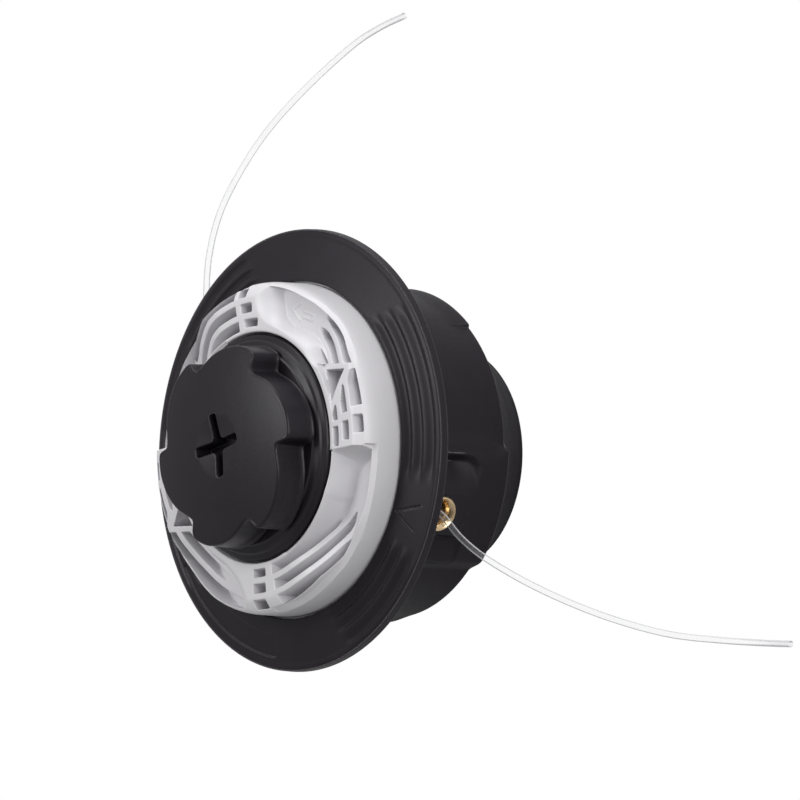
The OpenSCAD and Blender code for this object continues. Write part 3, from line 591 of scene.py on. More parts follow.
def ring_height(r, ang):
    z, x, y, a, z0, g1, step, line_up, face1 = ring_face(r, ang)
    floor = 64.5

    # windows in two columns, and the slots between them; one column differs from half to half
    other = ((ang + 90) % 360) >= 180
    near = [(-86.0, -77.6), (-85.7, -78.2), (-86.0, -79.0)]
    far = [(-86.3, -77.4), (-82.4, -75.6), (-78.9, -74.2)]
    for (r1, r2), (a1, a2), (b1, b2) in zip(ROWS, near, far):
        d = np.where(other, sector_sd(r, a, r1, r2, b1, b2, 0.5), sector_sd(r, a, r1, r2, a1, a2, 0.5))
        z = carve(z, d, floor)
    for (r1, r2), (a1, a2) in zip(ROWS, [(3.0, 11.9), (5.6, 13.2), (7.9, 14.4)]):
        z = carve(z, sector_sd(r, a, r1, r2, a1, a2, 0.4), floor)
    slots = [
        [(45.45, 17.9), (48.3, 17.9), (48.3, 31.6), (47.5, 31.5), (45.9, 28.6), (45.45, 27.2)],
        [(41.0, 16.7), (43.5, 16.7), (43.5, 27.0), (43.0, 28.3), (42.0, 25.2), (41.2, 22.0)],
        [(36.7, 14.9), (38.8, 14.9), (38.8, 20.6), (38.4, 21.6), (37.4, 19.4), (36.8, 17.5)],
    ]
    for s in slots:
        pts = [(q * math.cos(w * RAD), q * math.sin(w * RAD)) for q, w in s]
        dense = []
        for (q1, w1), (q2, w2) in zip(s, s[1:] + s[:1]):
            for m_ in range(6):
                f = m_ / 6
                q, w = q1 + (q2 - q1) * f, w1 + (w2 - w1) * f
                dense.append((q * math.cos(w * RAD), q * math.sin(w * RAD)))
        z = carve(z, polygon_sd(x, y, dense), floor, edge=0.28)

    # three-cornered window
    tri = [(28.3, 24.3)] + [(37.5, 24.9)] + curve_through([(37.5, 24.9), (36.3, 22.4), (35.3, 19.9), (34.5, 17.5), (33.9, 15.3)], 5)[1:] + \
        curve_through([(33.9, 15.3), (32.6, 17.3), (30.9, 19.9), (29.6, 22.2), (28.3, 24.3)], 4)[1:-1]
    z = carve(z, polygon_sd(x, y, tri) , floor, edge=0.3)

    # grooves at the foot of the shallow scoop, up to a straight wall
    ends = [(55.7, 55.7), (60.4, 75.0), (60.0, 86.5)]
    for i, (r1, r2) in enumerate(ROWS):
        if i == 0:
            continue
        tip = np.where(other, 13.0, 5.5)
        a2 = np.where(other, ends[i][1], ends[i][0])
        # pointed end
        w = np.clip((a2 - a) / tip, 0, 1)
        lo = r1 + (1 - np.sqrt(w)) * (r2 - r1) * 0.55
        hi = r2 - (1 - np.sqrt(w)) * (r2 - r1) * 0.45
        d = np.maximum(np.maximum(lo - r, r - hi), np.maximum(-line_up, (a - a2) * RAD * r))
        depth = np.where(other, 72.3 - 7.8 * smooth01((a2 - a) / 33.0) ** 1.2, 72.0 - 7.5 * smooth01((a2 - a) / 7.0))
        z = carve(z, d, np.maximum(depth, floor), edge=0.3)
    # the first groove: its inner side is the rolling inner wall
    w = np.clip((57.5 - a) / 14.0, 0, 1)
    side = inner_wall(r, 35.35, 3.75 - 1.75 * w, 5.2, 1.0)
    d = np.maximum(np.maximum(r - 38.7, -line_up), (a - 57.5) * RAD * r)
    use = (d < 0.3) & (a > 20) & (r > 35.3)
    b = smooth01((a - 48.0) / 9.5)
    cut = carve(z, d, np.maximum(side * (1 - b) + z * b, floor), edge=0.3)
    z = np.where(use, np.minimum(z, cut), z)

    # grooves at the foot of the deep scoop
    starts = [-29.5, -24.0, -31.5]
    stops = [-73.0, -72.3, -71.8]
    for i, (r1, r2) in enumerate(ROWS):
        a1, a2 = stops[i], starts[i]
        w = np.clip((a2 - a) / 7.5, 0, 1)
        if i == 0:
            lo = np.full_like(r + a, 30.0)
            hi = r2 - (1 - smooth01((a2 - a) / 6.0)) * 1.0
        elif i == 1:
            lo = r1 + (1 - w ** 0.8) * 1.6
            hi = r2 - (1 - w ** 0.8) * 1.2
        else:
            lo = r1 + (1 - np.clip((a2 - a) / 5.0, 0, 1)) * 0.9
            hi = np.full_like(r + a, r2)
        d = np.maximum(np.maximum(lo - r, r - hi), np.maximum((a1 - a) * RAD * r, (a - a2) * RAD * r))
        # soften the closed end
        if i == 0:
            side = np.where(r < 37.9, inner_wall(r, 35.5, 2.25, 8.8, 1.0), floor)
            b = smooth01((a + 37.0) / 7.5)
            low = np.maximum(side * (1 - b) + z * b, floor)
            ok = (r > 35.4)
            cut = carve(z, d, low, edge=0.3)
            z = np.where(ok & (d < 0.3), np.minimum(z, cut), z)
        else:
            z = carve(z, d, np.full_like(z, floor), edge=0.3)
    # plain arrow, a thin raised outline on the level floor
    arrow = [[(11.0, 43.6), (7.6, 41.7), (11.1, 38.7)],
             [(10.4, 42.0), (12.9, 42.3), (13.3, 40.1), (17.3, 39.0)]]
    d = np.minimum(path_distance(x, y, arrow[0]), path_distance(x, y, [(13.0, 41.3), (17.4, 40.4), (17.1, 38.7), (12.6, 39.6)]))
    one = ((np.asarray(ang, float) + 90) % 360) < 180
    z = z + np.where((z < 72.4) & one, 0.28 * smooth01((0.42 - d) / 0.34), 0)
    return z


def ring_lines():
    """Radii and angles of the face's grid, closer together where walls stand."""
    rs = [34.5, 34.53, 34.6, 34.7, 34.85, 35.1, 35.35, 35.6, 35.85]
    edges = [36.3, 38.7, 40.7, 43.5, 45.5, 48.2]
    for e in edges:
        rs += [e - 0.3, e - 0.15, e, e + 0.1, e + 0.2, e + 0.32]
    extra = [36.9, 37.2, 37.5, 37.8, 38.1, 39.3, 39.6, 39.9, 40.15, 41.3, 41.6, 41.9, 42.2, 42.5, 42.8, 43.05,
             44.1, 44.4, 44.7, 45.0, 46.1, 46.4, 46.7, 47.0, 47.3, 47.6, 48.8, 49.1, 49.3, 49.45, 49.56, 49.62, 49.65]
    rs = sorted(set(np.round(rs + extra, 3)))
    keep = [rs[0]]
    for q in rs[1:]:
        if q - keep[-1] >= 0.045 or q > 49.6 or q < 34.6:
            keep.append(q)
    ang = []
    pieces = [(-90, -86.6, 0.35), (-86.6, -74.6, 0.24), (-74.6, -70.4, 0.24), (-70, -34, 0.7), (-34, -20, 0.36),
              (-20, -6, 0.55), (-6, 1.5, 0.32), (1.5, 6.0, 0.16), (6.0, 33, 0.27), (33, 62, 0.31), (62, 90, 0.6)]
    for a1, a2, st in pieces:
        n = max(1, int(round((a2 - a1) / st)))
        ang += list(np.linspace(a1, a2, n, endpoint=False))
    ang = sorted(ang)
    out = [ang[0]]
    for q in ang[1:]:
        if q - out[-1] > 0.1:
            out.append(q)
    half = np.array(out)
    return np.array(keep), np.concatenate([half, half + 180])


def build_ring():
    rs, an = ring_lines()
    r, a = np.meshgrid(rs, an, indexing="ij")
    z = ring_height(r, a)
    z = np.maximum(z, 64.4)
    # one closed skin: face outwards, down the side, round the lip, back inside
    c, s = np.cos(an * RAD), np.sin(an * RAD)
    loops = [np.column_stack([rs[i] * c, rs[i] * s, z[i]]) for i in range(len(rs))]
    def flat_loop(rr, zz):
        return np.column_stack([rr * c, rr * s, np.full(len(an), zz)])
    edge = z[-1]
    for f in (0.25, 0.6):
        loops.append(np.column_stack([49.65 * c, 49.65 * s, edge * (1 - f) + 66.0 * f]))
    loops += [flat_loop(49.65, 64.5), flat_loop(49.65, 60.25), flat_loop(50.75, 60.2), flat_loop(50.9, 60.05),
              flat_loop(50.9, 58.35), flat_loop(50.75, 58.2), flat_loop(48.0, 58.2)]
    # underside: hollow between eight ribs
    gap = np.abs(((an + 18) % 45) - 22.5) < 21.2
    under = np.where(gap, 62.6, 58.2)
    for rr, u in ((47.7, 58.2), (47.65, None), (37.55, None), (37.5, 58.2)):
        zz = np.full(len(an), 58.2) if u else under
        loops.append(np.column_stack([rr * c, rr * s, zz]))
    loops += [flat_loop(36.3, 58.2), flat_loop(36.25, 56.35), flat_loop(34.55, 56.3), flat_loop(34.5, 56.45),
              flat_loop(34.5, 68.0), flat_loop(26.0, 68.0), flat_loop(26.0, 69.8), flat_loop(34.4, 69.8), flat_loop(34.5, 69.95)]
    verts, faces = ring_grid(loops)
    o = mesh_object("winding_ring_skin", verts, faces[:, ::-1].copy(), "ring", angle=36, turn=18)
    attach(o, "spool")
    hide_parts("winding_ring")
    return o


ring = build_ring()

# ---------------------------------------------------------------- tap knob
SCREW_R = 14.0
KT = [-0.18, -0.08, -0.02, 0.0, 0.012, 0.03, 0.05, 0.08, 0.12, 0.18, 0.25, 0.40, 0.55, 0.70, 0.82, 0.92, 0.98, 1.0, 1.012, 1.03]
KR = [29.75, 29.8, 29.65, 29.2, 28.5, 26.9, 25.6, 24.95, 24.85, 25.1, 25.7, 27.2, 28.4, 29.3, 29.75, 29.8, 29.65, 29.2, 28.5, 26.9]


def knob_face_r(a):
    """Radius of the face's edge at an angle: six saw-tooth lobes, each with its step at its anticlockwise end."""
    return spline(KT, KR, ((8 - np.asarray(a, float)) % 60) / 60)


def knob_offsets(sector, steps):
    """Radius of the face's edge moved out by each step, square to the edge, for the angles of one lobe."""
    dense = np.arange(-32, 92, 0.3)
    rr = knob_face_r(dense)
    line = list(zip(rr * np.cos(dense * RAD), rr * np.sin(dense * RAD)))
    rad = np.arange(21.5, 32.6, 0.06)
    a, r = np.meshgrid(sector, rad, indexing="ij")
    d = path_distance(r * np.cos(a * RAD), r * np.sin(a * RAD), line)
    d = np.where(r < knob_face_r(a), -d, d)
    out = []
    for s in steps:
        inside = d <= s
        last = inside.shape[1] - 1 - np.argmax(inside[:, ::-1], axis=1)
        last = np.clip(last, 0, len(rad) - 2)
        k = np.arange(len(sector))
        d0, d1 = d[k, last], d[k, last + 1]
        f = np.clip((s - d0) / np.where(np.abs(d1 - d0) < 1e-9, 1, d1 - d0), 0, 1)
        out.append(rad[last] + f * 0.06)
    return out


def knob_dome(r):
    return 92.65 - 3.12 * (r / 30.0) ** 2


def build_knob():
    sector = np.unique(np.round(np.concatenate([np.arange(0, 2.4, 1.0), np.arange(2.4, 10.6, 0.17), np.arange(10.6, 60, 1.0)]), 3))
    an = np.concatenate([sector + 60 * k for k in range(6)])
    rows = [(79.70, 0.95), (79.76, 1.13), (79.95, 1.2), (80.22, 1.16), (80.36, 1.0), (80.5, 0.93), (82.0, 0.88), (85.0, 0.80), (88.0, 0.70)]
    fil = [(0.9, q) for q in (0, 15, 30, 45, 60, 75, 90)]
    offs = [e for _, e in rows] + [-0.2 + 0.9 * math.cos(q * RAD) for _, q in fil] + [-0.8, -1.7]
    radii = [np.tile(o, 6) for o in knob_offsets(sector, offs)]
    loops = []
    for (z, _), r in zip(rows, radii):
        loops.append(circle_loop(r, z, an))
    edge_r = radii[len(rows) + len(fil) - 1]
    top = knob_dome(edge_r)
    for (_, q), r in zip(fil, radii[len(rows):]):
        loops.append(circle_loop(r, top - 0.9 * (1 - math.sin(q * RAD)), an))
    for f in (0.06, 0.16, 0.3, 0.5, 0.75, 1.0):
        r = edge_r * (1 - f) + 16.5 * f
        loops.append(circle_loop(r, knob_dome(r), an))
    # below: rim, hollow, centre boss and its bore
    inner = radii[-1]
    under = [circle_loop(radii[0] - 0.12, 79.66, an), circle_loop(inner, 79.66, an), circle_loop(inner, 85.3, an),
             circle_loop(inner - 0.5, 85.5, an), circle_loop(11.9, 85.5, an), circle_loop(11.6, 85.2, an), circle_loop(11.6, 79.7, an),
             circle_loop(6.6, 79.7, an), circle_loop(6.4, 79.9, an), circle_loop(6.4, 82.0, an)]
    loops = under[::-1] + loops
    verts, faces = ring_grid(loops, closed_tube=False)
    verts, faces = list(map(tuple, verts)), [tuple(f) for f in faces]
    n = len(an)
    # ceiling of the bore
    verts.append((0, 0, 82.0))
    faces += [((j + 1) % n, j, len(verts) - 1) for j in range(n)]

    # middle of the face: a shallow dish with a cross slot
    h = [0, 0.5, 1.0, 1.2, 1.29, 1.36, 1.42, 1.47, 1.53, 1.6, 1.68, 1.8, 2.1, 2.6, 3.2, 4.0, 4.8, 5.6, 6.4, 7.2, 8.0, 8.6, 9.0,
         9.25, 9.42, 9.52, 9.58, 9.64, 9.7, 9.78, 9.9, 10.2, 10.9]
    g = np.array([-q for q in h[:0:-1]] + h)
    gx, gy = np.meshgrid(g, g, indexing="ij")
    rho = np.hypot(gx, gy)
    t = np.clip(rho / 9.2, 0, 1)
    dish = 1.55 * (1 - t) - 0.10 * np.exp(-((rho - 9.2) / 0.5) ** 2) * 0
    soft = 0.5 * np.exp(-(rho / 1.5) ** 2)
    z = knob_dome(rho) - np.maximum(dish - soft * 0.3, 0)
    arm = lambda p, q: np.hypot(np.maximum(np.abs(p) - 8.6, 0), np.maximum(np.abs(q) - 0.55, 0)) + \
        np.minimum(np.maximum(np.abs(p) - 8.6, np.abs(q) - 0.55), 0) - 1.05
    d1, d2 = arm(gx, gy), arm(gy, gx)
    d = np.minimum(d1, d2) - np.maximum(1.5 - np.abs(d1 - d2), 0) ** 2 / 6.0
    z = carve(z, d, np.full_like(z, 86.3), edge=0.22, wall=0.2)
    c, s = math.cos(17 * RAD), math.sin(17 * RAD)
    px, py = gx * c - gy * s, gx * s + gy * c
    base = len(verts)
    m_ = len(g)
    verts += list(zip(px.ravel(), py.ravel(), z.ravel()))
    for i in range(m_ - 1):
        for j in range(m_ - 1):
            a0 = base + i * m_ + j
            faces.append((a0, a0 + m_, a0 + m_ + 1, a0 + 1))
    ring_i = [base + i * m_ for i in range(m_)] + [base + (m_ - 1) * m_ + j for j in range(1, m_)] + \
        [base + i * m_ + m_ - 1 for i in range(m_ - 2, -1, -1)] + [base + j for j in range(m_ - 2, 0, -1)]
    va = np.array([verts[k] for k in ring_i])
    ang = np.degrees(np.arctan2(va[:, 1], va[:, 0])) % 360
    order = np.argsort(ang)
    ring_i = [ring_i[k] for k in order]
    ang = ang[order]
    last = (len(loops) - 1) * n
    faces += zipper([last + j for j in range(n)], list(an), ring_i, list(ang))
    # three screw bosses under the face, each with a pilot hole
    ra = np.arange(24) * 15.0
    for k in range(3):
        w = (k * 120 + 30 - 18) * RAD
        cx, cy = SCREW_R * math.cos(w), SCREW_R * math.sin(w)
        bl = [(1.6, 68.2), (3.7, 68.1), (3.9, 68.3), (3.9, 85.9), (1.6, 85.9)]
        b0 = len(verts)
        for r, zz in bl:
            verts += [(cx + r * math.cos(q * RAD), cy + r * math.sin(q * RAD), zz) for q in ra]
        for i in range(len(bl)):
            for j in range(24):
                a1, b1 = b0 + i * 24, b0 + ((i + 1) % len(bl)) * 24
                faces.append((a1 + j, a1 + (j + 1) % 24, b1 + (j + 1) % 24, b1 + j))
    o = mesh_object("tap_knob", verts, outward(verts, faces), "knob", angle=50, turn=18)
    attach(o, "spool")
    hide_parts("bump_knob")
    return o


# ---------------------------------------------------------------- collar under the knob
def build_collar():
    pts = [(21.4, 77.0), (31.2, 77.0), (31.2, 69.9), (33.6, 69.9), (33.85, 76.6), (33.45, 77.35), (32.05, 77.9), (31.65, 78.65),
           (29.65, 79.12), (29.25, 79.6), (21.4, 79.6), (21.2, 78.3), (21.4, 77.0)]
    rad = [0, 0.3, 0.2, 0.2, 0.35, 0.4, 0.22, 0.3, 0.2, 0.25, 0.2, 0.3, 0]
    prof = rounded(pts, rad, 4)[:-1]
    o = revolve("collar", prof, 240, "knob", angle=60)
    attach(o, "spool")
    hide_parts("knob_collar")
    return o


knob = build_knob()
collar = build_collar()

# ---------------------------------------------------------------- skid flange
WAVE_R = [50.7, 51.4, 53.9, 55.4, 58.2, 59.6, 62.6, 64.0, 65.7]
WAVE_H = [0.3, 1.0, -1.0, 1.0, -1.0, 1.0, -1.0, 0.4, 0.0]


def fade(a, a1, a2, w):
    """1 between two angles, falling softly to 0 over w degrees at both ends."""
    return smooth01((a - a1) / w) * smooth01((a2 - a) / w)


def flange_height(r, ang):
    a = (ang + 70) % 180 - 70
    z = 60 + 3 * (66 - r) / 16
    # wave ridges: wide bands that slope outwards a little, with a short rise between two of them
    wave = spline(WAVE_R, WAVE_H, r)
    far = np.clip((r - 50.6) / 13.4, 0, 1)
    amp = np.maximum(fade(a, -8.5 + far * 1.2, 53 - far * 6.5, 6.5), fade(a, -69.5 + far * 5.0, -25.5 - far * 0.8, 5.0))
    z = z + 0.37 * amp * wave
    # low band along the rim
    z = z + 0.13 * smooth01((r - 63.5) / 0.9) * (1 - smooth01((r - 65.1) / 0.55))
    # wedge mark beside each eyelet, cut as two fine lines
    x, y = r * np.cos(a * RAD), r * np.sin(a * RAD)
    tip = (52.3 * math.cos(-18.0 * RAD), 52.3 * math.sin(-18.0 * RAD))
    up = (60.8 * math.cos(-13.7 * RAD), 60.8 * math.sin(-13.7 * RAD))
    low = (60.4 * math.cos(-21.3 * RAD), 60.4 * math.sin(-21.3 * RAD))
    d1 = path_distance(x, y, [tip, up])
    d2 = path_distance(x, y, [tip, low])
    near = (a > -27) & (a < -9)
    z = z - np.where(near, 0.42 * smooth01((0.34 - d1) / 0.2), 0)
    inside = polygon_sd(x, y, [tip, up, low])
    z = z + np.where(near, 0.16 * smooth01((0.10 - inside) / 0.24) * smooth01((60.4 - r) / 5.0), 0)
    z = z - np.where(near, 0.10 * smooth01((0.3 - d2) / 0.24), 0)
    # sunk field on one side, left plain
    full = ang % 360
    d = sector_sd(r, full, 55.3, 62.4, 216.0, 266.0, 0.9)
    z = z - 0.42 * smooth01((0.12 - d) / 0.34)
    return z


def build_flange():
    rs = [50.4, 50.44, 50.55, 50.75, 51.0] + list(np.arange(51.3, 64.2, 0.34)) + \
        [64.3, 64.45, 64.6, 64.75, 64.9, 65.05, 65.2, 65.35, 65.5, 65.62]
    rs = np.array(sorted(set(np.round(rs + [55.05, 55.18, 55.3, 55.42, 62.28, 62.4, 62.52, 62.65], 3))))
    an = np.concatenate([np.arange(-90, -70, 0.8), np.arange(-70, -27, 0.6), np.arange(-27, -9, 0.22), np.arange(-9, 56, 0.6), np.arange(56, 90, 0.8)])
    an = np.concatenate([an, an + 180])
    extra = np.concatenate([np.arange(215.4, 217.6, 0.12), np.arange(264.6, 266.8, 0.12)])
    an = np.array(sorted(set(np.round(np.concatenate([an, extra]), 3))))
    keep = [an[0]]
    for q in an[1:]:
        if q - keep[-1] > 0.08:
            keep.append(q)
    an = np.array(keep)
    r, a = np.meshgrid(rs, an, indexing="ij")
    z = flange_height(r, a)
    # rounded edge at the hole
    u = np.clip((50.9 - r) / 0.5, 0, 1)
    z = z - 0.5 * (1 - np.sqrt(np.maximum(0, 1 - u * u)))
    c, s = np.cos(an * RAD), np.sin(an * RAD)
    loops = [np.column_stack([rs[i] * c, rs[i] * s, z[i]]) for i in range(len(rs))]
    rim = rounded([(65.62, 60.2), (66.0, 60.13), (65.98, 57.95), (66.08, 57.75), (66.0, 57.5), (65.55, 57.5), (65.3, 58.1), (57.4, 59.45),
                   (56.45, 59.3), (56.2, 54.2), (54.2, 54.2), (54.2, 60.4), (50.6, 60.4), (50.4, 60.7)],
                  [0, 0.3, 0.1, 0.12, 0.15, 0.12, 0.3, 0.3, 0.5, 0.3, 0.2, 0.3, 0.2, 0], 3)[1:]
    loops += [circle_loop(rr, zz, an) for rr, zz in rim]
    verts, faces = ring_grid(loops)
    o = mesh_object("flange", verts, outward(verts, faces.tolist()), "flange", angle=42, turn=18)
    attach(o, "housing")
    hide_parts("skid_flange")
    return o


flange = build_flange()

# ---------------------------------------------------------------- housing
EYE_Z = 46.0


def drum_radius(ang, z):
    """Radius of the drum's outside at an angle and a height; it repeats after half a turn."""
    a = (ang + 77) % 180 - 77
    r = 48.55 + np.zeros(np.broadcast(a, z).shape)
    # long flat panel from the eyelet block on, up to the raised shoulder
    r = r + 0.55 * smooth01((a - 3) / 2.0) * smooth01((103.0 - a) / 16.0)
    # raised shoulder at the back edge, which runs out towards the front
    lift = smooth01((29.0 - z) / 7.5)
    r = r + 0.98 * lift * smooth01((a - 53.3) / 0.8) * smooth01((103.0 - a) / 16.0)
    # eyelet block with a slanted start and a long slanted end
    run = 2.9 + 9.0 * smooth01((z - 22.6) / 4.5)
    block = smooth01((4.75 + run / 2 - a) / run) * smooth01((a + 43.0) / 8.0)
    r = r + (51.35 - r) * block
    # flat pad round the eyelet, one hair higher than the block
    pad = smooth01((-11.0 - a) / 0.7) * smooth01((a + 25.6) / 0.7) * smooth01((z - 34.6) / 0.5)
    r = r + 0.14 * pad

    # pocket above the eyelet: a steep top side, a floor that runs out downwards and backwards
    s = (a + 4.55) * RAD * 51.4
    for top, bottom, depth, rc in ((2.25, -11.4, 4.3, 4.2), (-25.9, -39.2, 3.6, 3.2)):
        s1, s2 = bottom * RAD * 51.4, top * RAD * 51.4
        sa = a * RAD * 51.4
        zmid, hz = (32.0 + 50.4) / 2, (50.4 - 32.0) / 2
        q1 = np.abs(sa - (s1 + s2) / 2) - (s2 - s1) / 2
        q2 = np.abs(z - zmid) - hz
        upper = sa > (s1 + s2) / 2
        rad = np.where((z < 40) & upper, rc, 1.2)
        if top < 0:
            rad = np.where(z < 40, np.where(upper, 3.0, 3.0), 1.2)
        d = np.hypot(np.maximum(q1 + rad, 0), np.maximum(q2 + rad, 0)) + np.minimum(np.maximum(q1 + rad, q2 + rad), 0) - rad
        t = np.clip((s2 - sa) / (s2 - s1), 0, 1)
        side = smooth01((z - 32.0) / 8.5)
        deep = (0.35 + (depth - 0.35) * (0.25 + 0.75 * side)) * (1 - 0.93 * smooth01((t - 0.18) / 0.85))
        wall = 0.8 + 2.3 * np.clip((sa - s1) / (s2 - s1), 0, 1)
        cut = deep * smooth01(np.clip(-d / wall, 0, 1) ** 0.8)
        r = r - np.where(d < 0, cut, 0)
    # seat of the eyelet and the way through for the line
    e = (a + 18.0) * RAD * 51.4
    de = np.hypot(e, z - EYE_Z)
    r = np.where(de < 3.6, 45.75, r)
    return r


def build_housing():
    half = np.concatenate([np.arange(-77, -45, 1.6), np.arange(-45, -24, 0.42), np.arange(-24, -12, 0.34), np.arange(-12, 7, 0.34),
                           np.arange(7, 52.6, 1.6), np.arange(52.6, 55.4, 0.14), np.arange(55.4, 84, 1.4), np.arange(84, 103, 1.0)])
    an = np.concatenate([half, half + 180])
    an = np.array([q for k, q in enumerate(an) if k == 0 or q - an[k - 1] > 0.05])
    zs = [21.75, 21.9, 22.15, 22.5, 23.0, 23.6, 24.6, 25.8, 27.0, 28.4, 29.8, 31.0, 31.7, 32.0, 32.25, 32.5, 32.8, 33.1, 33.5,
          34.0, 34.45, 34.6, 34.75, 34.95, 35.2, 35.7, 36.3, 37.0, 37.8, 38.6, 39.4, 40.2, 41.0, 41.6]
    zs += list(np.arange(42.0, 50.3, 0.4)) + [50.6]
    loops = []
    # back rim, cone and the drum's back edge
    for r, z in rounded([(31.0, 0.0), (31.6, 0.0), (33.1, 0.9), (34.0, 2.9), (38.0, 9.6), (46.3, 21.35)], [0, 0.7, 1.0, 1.6, 3.0, 0], 4):
        loops.append(circle_loop(r, z, an))
    base = drum_radius(an, 23.6)
    for off, z in ((2.0, 21.35), (1.2, 21.36), (0.6, 21.39), (0.3, 21.45), (0.12, 21.56)):
        loops.append(circle_loop(base - off, z, an))
    for z in zs:
        roll = 0.0
        if z < 23.0:
            u = max(0.0, (23.0 - z) / 1.35)
            roll = 0.10 * (1 - math.sqrt(max(0.0, 1 - min(1.0, u) ** 2)))
        loops.append(circle_loop(drum_radius(an, z) - roll, z, an))
    inside = [(53.6, 51.4), (54.0, 51.8), (54.0, 60.0), (53.8, 60.2), (51.6, 60.2), (51.4, 60.0), (51.4, 51.6), (45.7, 51.6),
              (45.5, 51.4), (45.5, 24.3), (45.2, 24.0), (9.1, 24.0), (9.0, 24.1), (9.0, 43.8), (8.8, 44.0), (6.2, 44.0), (6.0, 43.8),
              (6.0, 14.0)]
    loops += [circle_loop(r, z, an) for r, z in inside]
    # hexagonal pocket for the drive nut
    w = (an + 18) % 60 - 30
    hexa = 10.02 * math.cos(30 * RAD) / np.cos(w * RAD)
    loops += [circle_loop(hexa, 14.0, an), circle_loop(hexa, 2.7, an), circle_loop(hexa + 0.2, 2.5, an)]
    loops += [circle_loop(r, z, an) for r, z in rounded(
        [(11.5, 2.5), (11.5, 0.0), (14.2, 0.0), (14.2, 21.4), (42.6, 21.0), (35.6, 10.5), (31.3, 3.0), (31.0, 0.0)],
        [0, 0.35, 0.5, 0.6, 0.8, 0.8, 0.8, 0], 3)[:-1]]
    verts, faces = ring_grid(loops)
    verts, faces = list(map(tuple, verts)), outward(verts, faces.tolist())
    # six fan ribs in the hub's open back
    outline = rounded([(13.9, 5.2), (32.6, 6.2), (36.3, 11.0), (43.3, 21.5), (13.9, 21.8), (13.9, 5.2)], [0, 0.8, 0, 0, 0, 0], 3)[:-1]
    for k in range(6):
        w = (k * 60 + 30 - 18) * RAD
        c, s = math.cos(w), math.sin(w)
        b0 = len(verts)
        prof = []
        for off, grow in ((-1.1, 0.22), (-0.95, 0.06), (-0.6, 0.0), (0.6, 0.0), (0.95, 0.06), (1.1, 0.22)):
            prof.append([(r, z + (grow if z < 7.5 else 0), off) for r, z in outline])
        for ring_ in prof:
            verts += [(r * c - o_ * s, r * s + o_ * c, z) for r, z, o_ in ring_]
        m_ = len(outline)
        part = []
        for i in range(len(prof) - 1):
            for j in range(m_):
                a1, b1 = b0 + i * m_, b0 + (i + 1) * m_
                part.append((a1 + j, a1 + (j + 1) % m_, b1 + (j + 1) % m_, b1 + j))
        part.append(tuple(b0 + j for j in range(m_ - 1, -1, -1)))
        part.append(tuple(b0 + (len(prof) - 1) * m_ + j for j in range(m_)))
        vv = np.array(verts[b0:])
        cen = vv.mean(axis=0)
        f0 = part[0]
        nrm = np.cross(np.array(verts[f0[1]]) - np.array(verts[f0[0]]), np.array(verts[f0[2]]) - np.array(verts[f0[0]]))
        if np.dot(nrm, np.array(verts[f0[0]]) - cen) < 0:
            part = [p[::-1] for p in part]
        faces += part
    o = mesh_object("drum_housing", verts, faces, "housing", angle=40, turn=18)
    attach(o, "housing")
    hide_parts("housing")
    return o


housing = build_housing()


# ---------------------------------------------------------------- line wound on the spool
def build_winding():
    layers = [(21.15 + 2.02 * k) for k in range(4)]
    pts = []
    for k, r in enumerate(layers):
        z0, z1 = (34.95, 53.05) if k % 2 == 0 else (53.05, 34.95)
        turns = 9
        for i in range(turns * 40 + (0 if k == 3 else 20)):
            f = min(1.0, i / (turns * 40))
            a = (i * 9.0 + k * 180) * RAD
            rr = r + (max(0.0, i - turns * 40) / 20) * 2.02
            pts.append((rr * math.cos(a) / 1000, rr * math.sin(a) / 1000, (z0 + (z1 - z0) * f) / 1000))
    cu = bpy.data.curves.new("wound_turns", "CURVE")
    cu.dimensions = "3D"
    sp = cu.splines.new("POLY")
    sp.points.add(len(pts) - 1)
    for p, q in zip(sp.points, pts):
        p.co = (*q, 1)
    sp.use_smooth = True
    cu.bevel_depth = 0.001
    cu.bevel_resolution = 3
    cu.use_fill_caps = True
    o = bpy.data.objects.new("wound_turns", cu)
    bpy.context.scene.collection.objects.link(o)
    cu.materials.append(MAT["line"])
    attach(o, "spool")
    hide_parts("wound_line")
    return o


winding = build_winding()


# ---------------------------------------------------------------- brass eyelets
def build_eyelet(name, node_name, turn):
    """Rolled brass bush: a thin bright rim, then a mouth that flares in to the bore."""
    prof = rounded([(2.7, 44.6), (2.75, 44.6), (4.0, 44.6), (4.0, 51.35), (5.3, 51.5), (5.45, 52.5), (5.35, 53.35), (5.0, 53.62),
                    (4.45, 53.1), (3.8, 52.35), (3.2, 51.2), (2.8, 49.6), (2.7, 47.5)],
                   [0, 0, 0.2, 0.1, 0.3, 0.6, 0.3, 0.2, 1.2, 1.6, 2.2, 3.0, 0], 4)
    n = 72
    verts = []
    for r, x in prof:
        for k in range(n):
            w = k * 360.0 / n * RAD
            verts.append((x, r * math.cos(w), 46.0 + r * math.sin(w)))
    m_ = len(prof)
    faces = [(i * n + k, i * n + (k + 1) % n, ((i + 1) % m_) * n + (k + 1) % n, ((i + 1) % m_) * n + k)
             for i in range(m_) for k in range(n)]
    o = mesh_object(name, verts, outward(verts, faces), "brass", angle=50, turn=turn)
    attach(o, "housing")
    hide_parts(node_name)
    return o


build_eyelet("eyelet_near", "eyelet_a", 0)
build_eyelet("eyelet_far", "eyelet_b", 180)


# ---------------------------------------------------------------- floor and light
def new_mesh(name, verts, faces):
    me = bpy.data.meshes.new(name)
    me.from_pydata([tuple(v) for v in verts], [], faces)
    me.update()
    o = bpy.data.objects.new(name, me)
    bpy.context.scene.collection.objects.link(o)
    return o


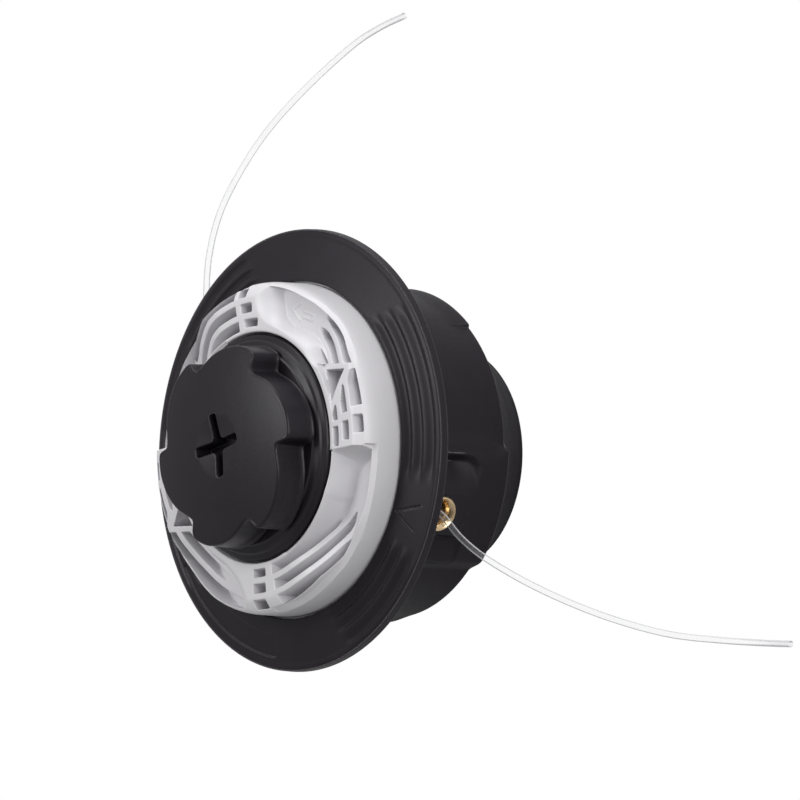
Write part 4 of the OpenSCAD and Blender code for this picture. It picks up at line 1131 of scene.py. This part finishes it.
LOW = -0.0002
floor = new_mesh("floor", [(-6, -6, LOW), (6, -6, LOW), (6, 6, LOW), (-6, 6, LOW)], [(0, 1, 2, 3)])
fm = bpy.data.materials.new("floor_white")
fm.use_nodes = True
fn = fm.node_tree
fn.nodes.clear()
matt = fn.nodes.new("ShaderNodeBsdfDiffuse")
matt.inputs["Color"].default_value = (0.74, 0.74, 0.74, 1)
plain = fn.nodes.new("ShaderNodeEmission")
plain.inputs["Color"].default_value = (1, 1, 1, 1)
plain.inputs["Strength"].default_value = 1.0
path = fn.nodes.new("ShaderNodeLightPath")
seen = fn.nodes.new("ShaderNodeMath")
seen.operation = "MAXIMUM"
both = fn.nodes.new("ShaderNodeMixShader")
out = fn.nodes.new("ShaderNodeOutputMaterial")
fn.links.new(path.outputs["Is Camera Ray"], seen.inputs[0])
fn.links.new(path.outputs["Is Transmission Ray"], seen.inputs[1])
fn.links.new(seen.outputs[0], both.inputs[0])
fn.links.new(matt.outputs[0], both.inputs[1])
fn.links.new(plain.outputs[0], both.inputs[2])
fn.links.new(both.outputs[0], out.inputs["Surface"])
floor.data.materials.append(fm)

world = bpy.data.worlds.new("studio")
bpy.context.scene.world = world
world.use_nodes = True
world.node_tree.nodes["Background"].inputs["Color"].default_value = (1, 1, 1, 1)
world.node_tree.nodes["Background"].inputs["Strength"].default_value = 0.42


def area(name, right, up, back, size, power, aim=(0, 0, 0.055)):
    ld = bpy.data.lights.new(name, "AREA")
    ld.shape = "SQUARE"
    ld.size = size
    ld.energy = power
    o = bpy.data.objects.new(name, ld)
    bpy.context.scene.collection.objects.link(o)
    pos = Vector(aim) + RIGHT * right + UP * up + BACK * back
    o.location = pos
    o.rotation_euler = (Vector(aim) - pos).to_track_quat("-Z", "Y").to_euler()
    return o


area("top", -0.25, 1.0, 0.15, 0.6, 4.3)
area("left", -0.98, 0.36, 0.38, 0.45, 5.4)
area("front", 0.45, 0.35, 1.10, 0.6, 6.4)

scene = bpy.context.scene
scene.view_settings.view_transform = "Standard"
scene.view_settings.look = "None"
scene.view_settings.exposure = 0.0
scene.view_settings.gamma = 1.0
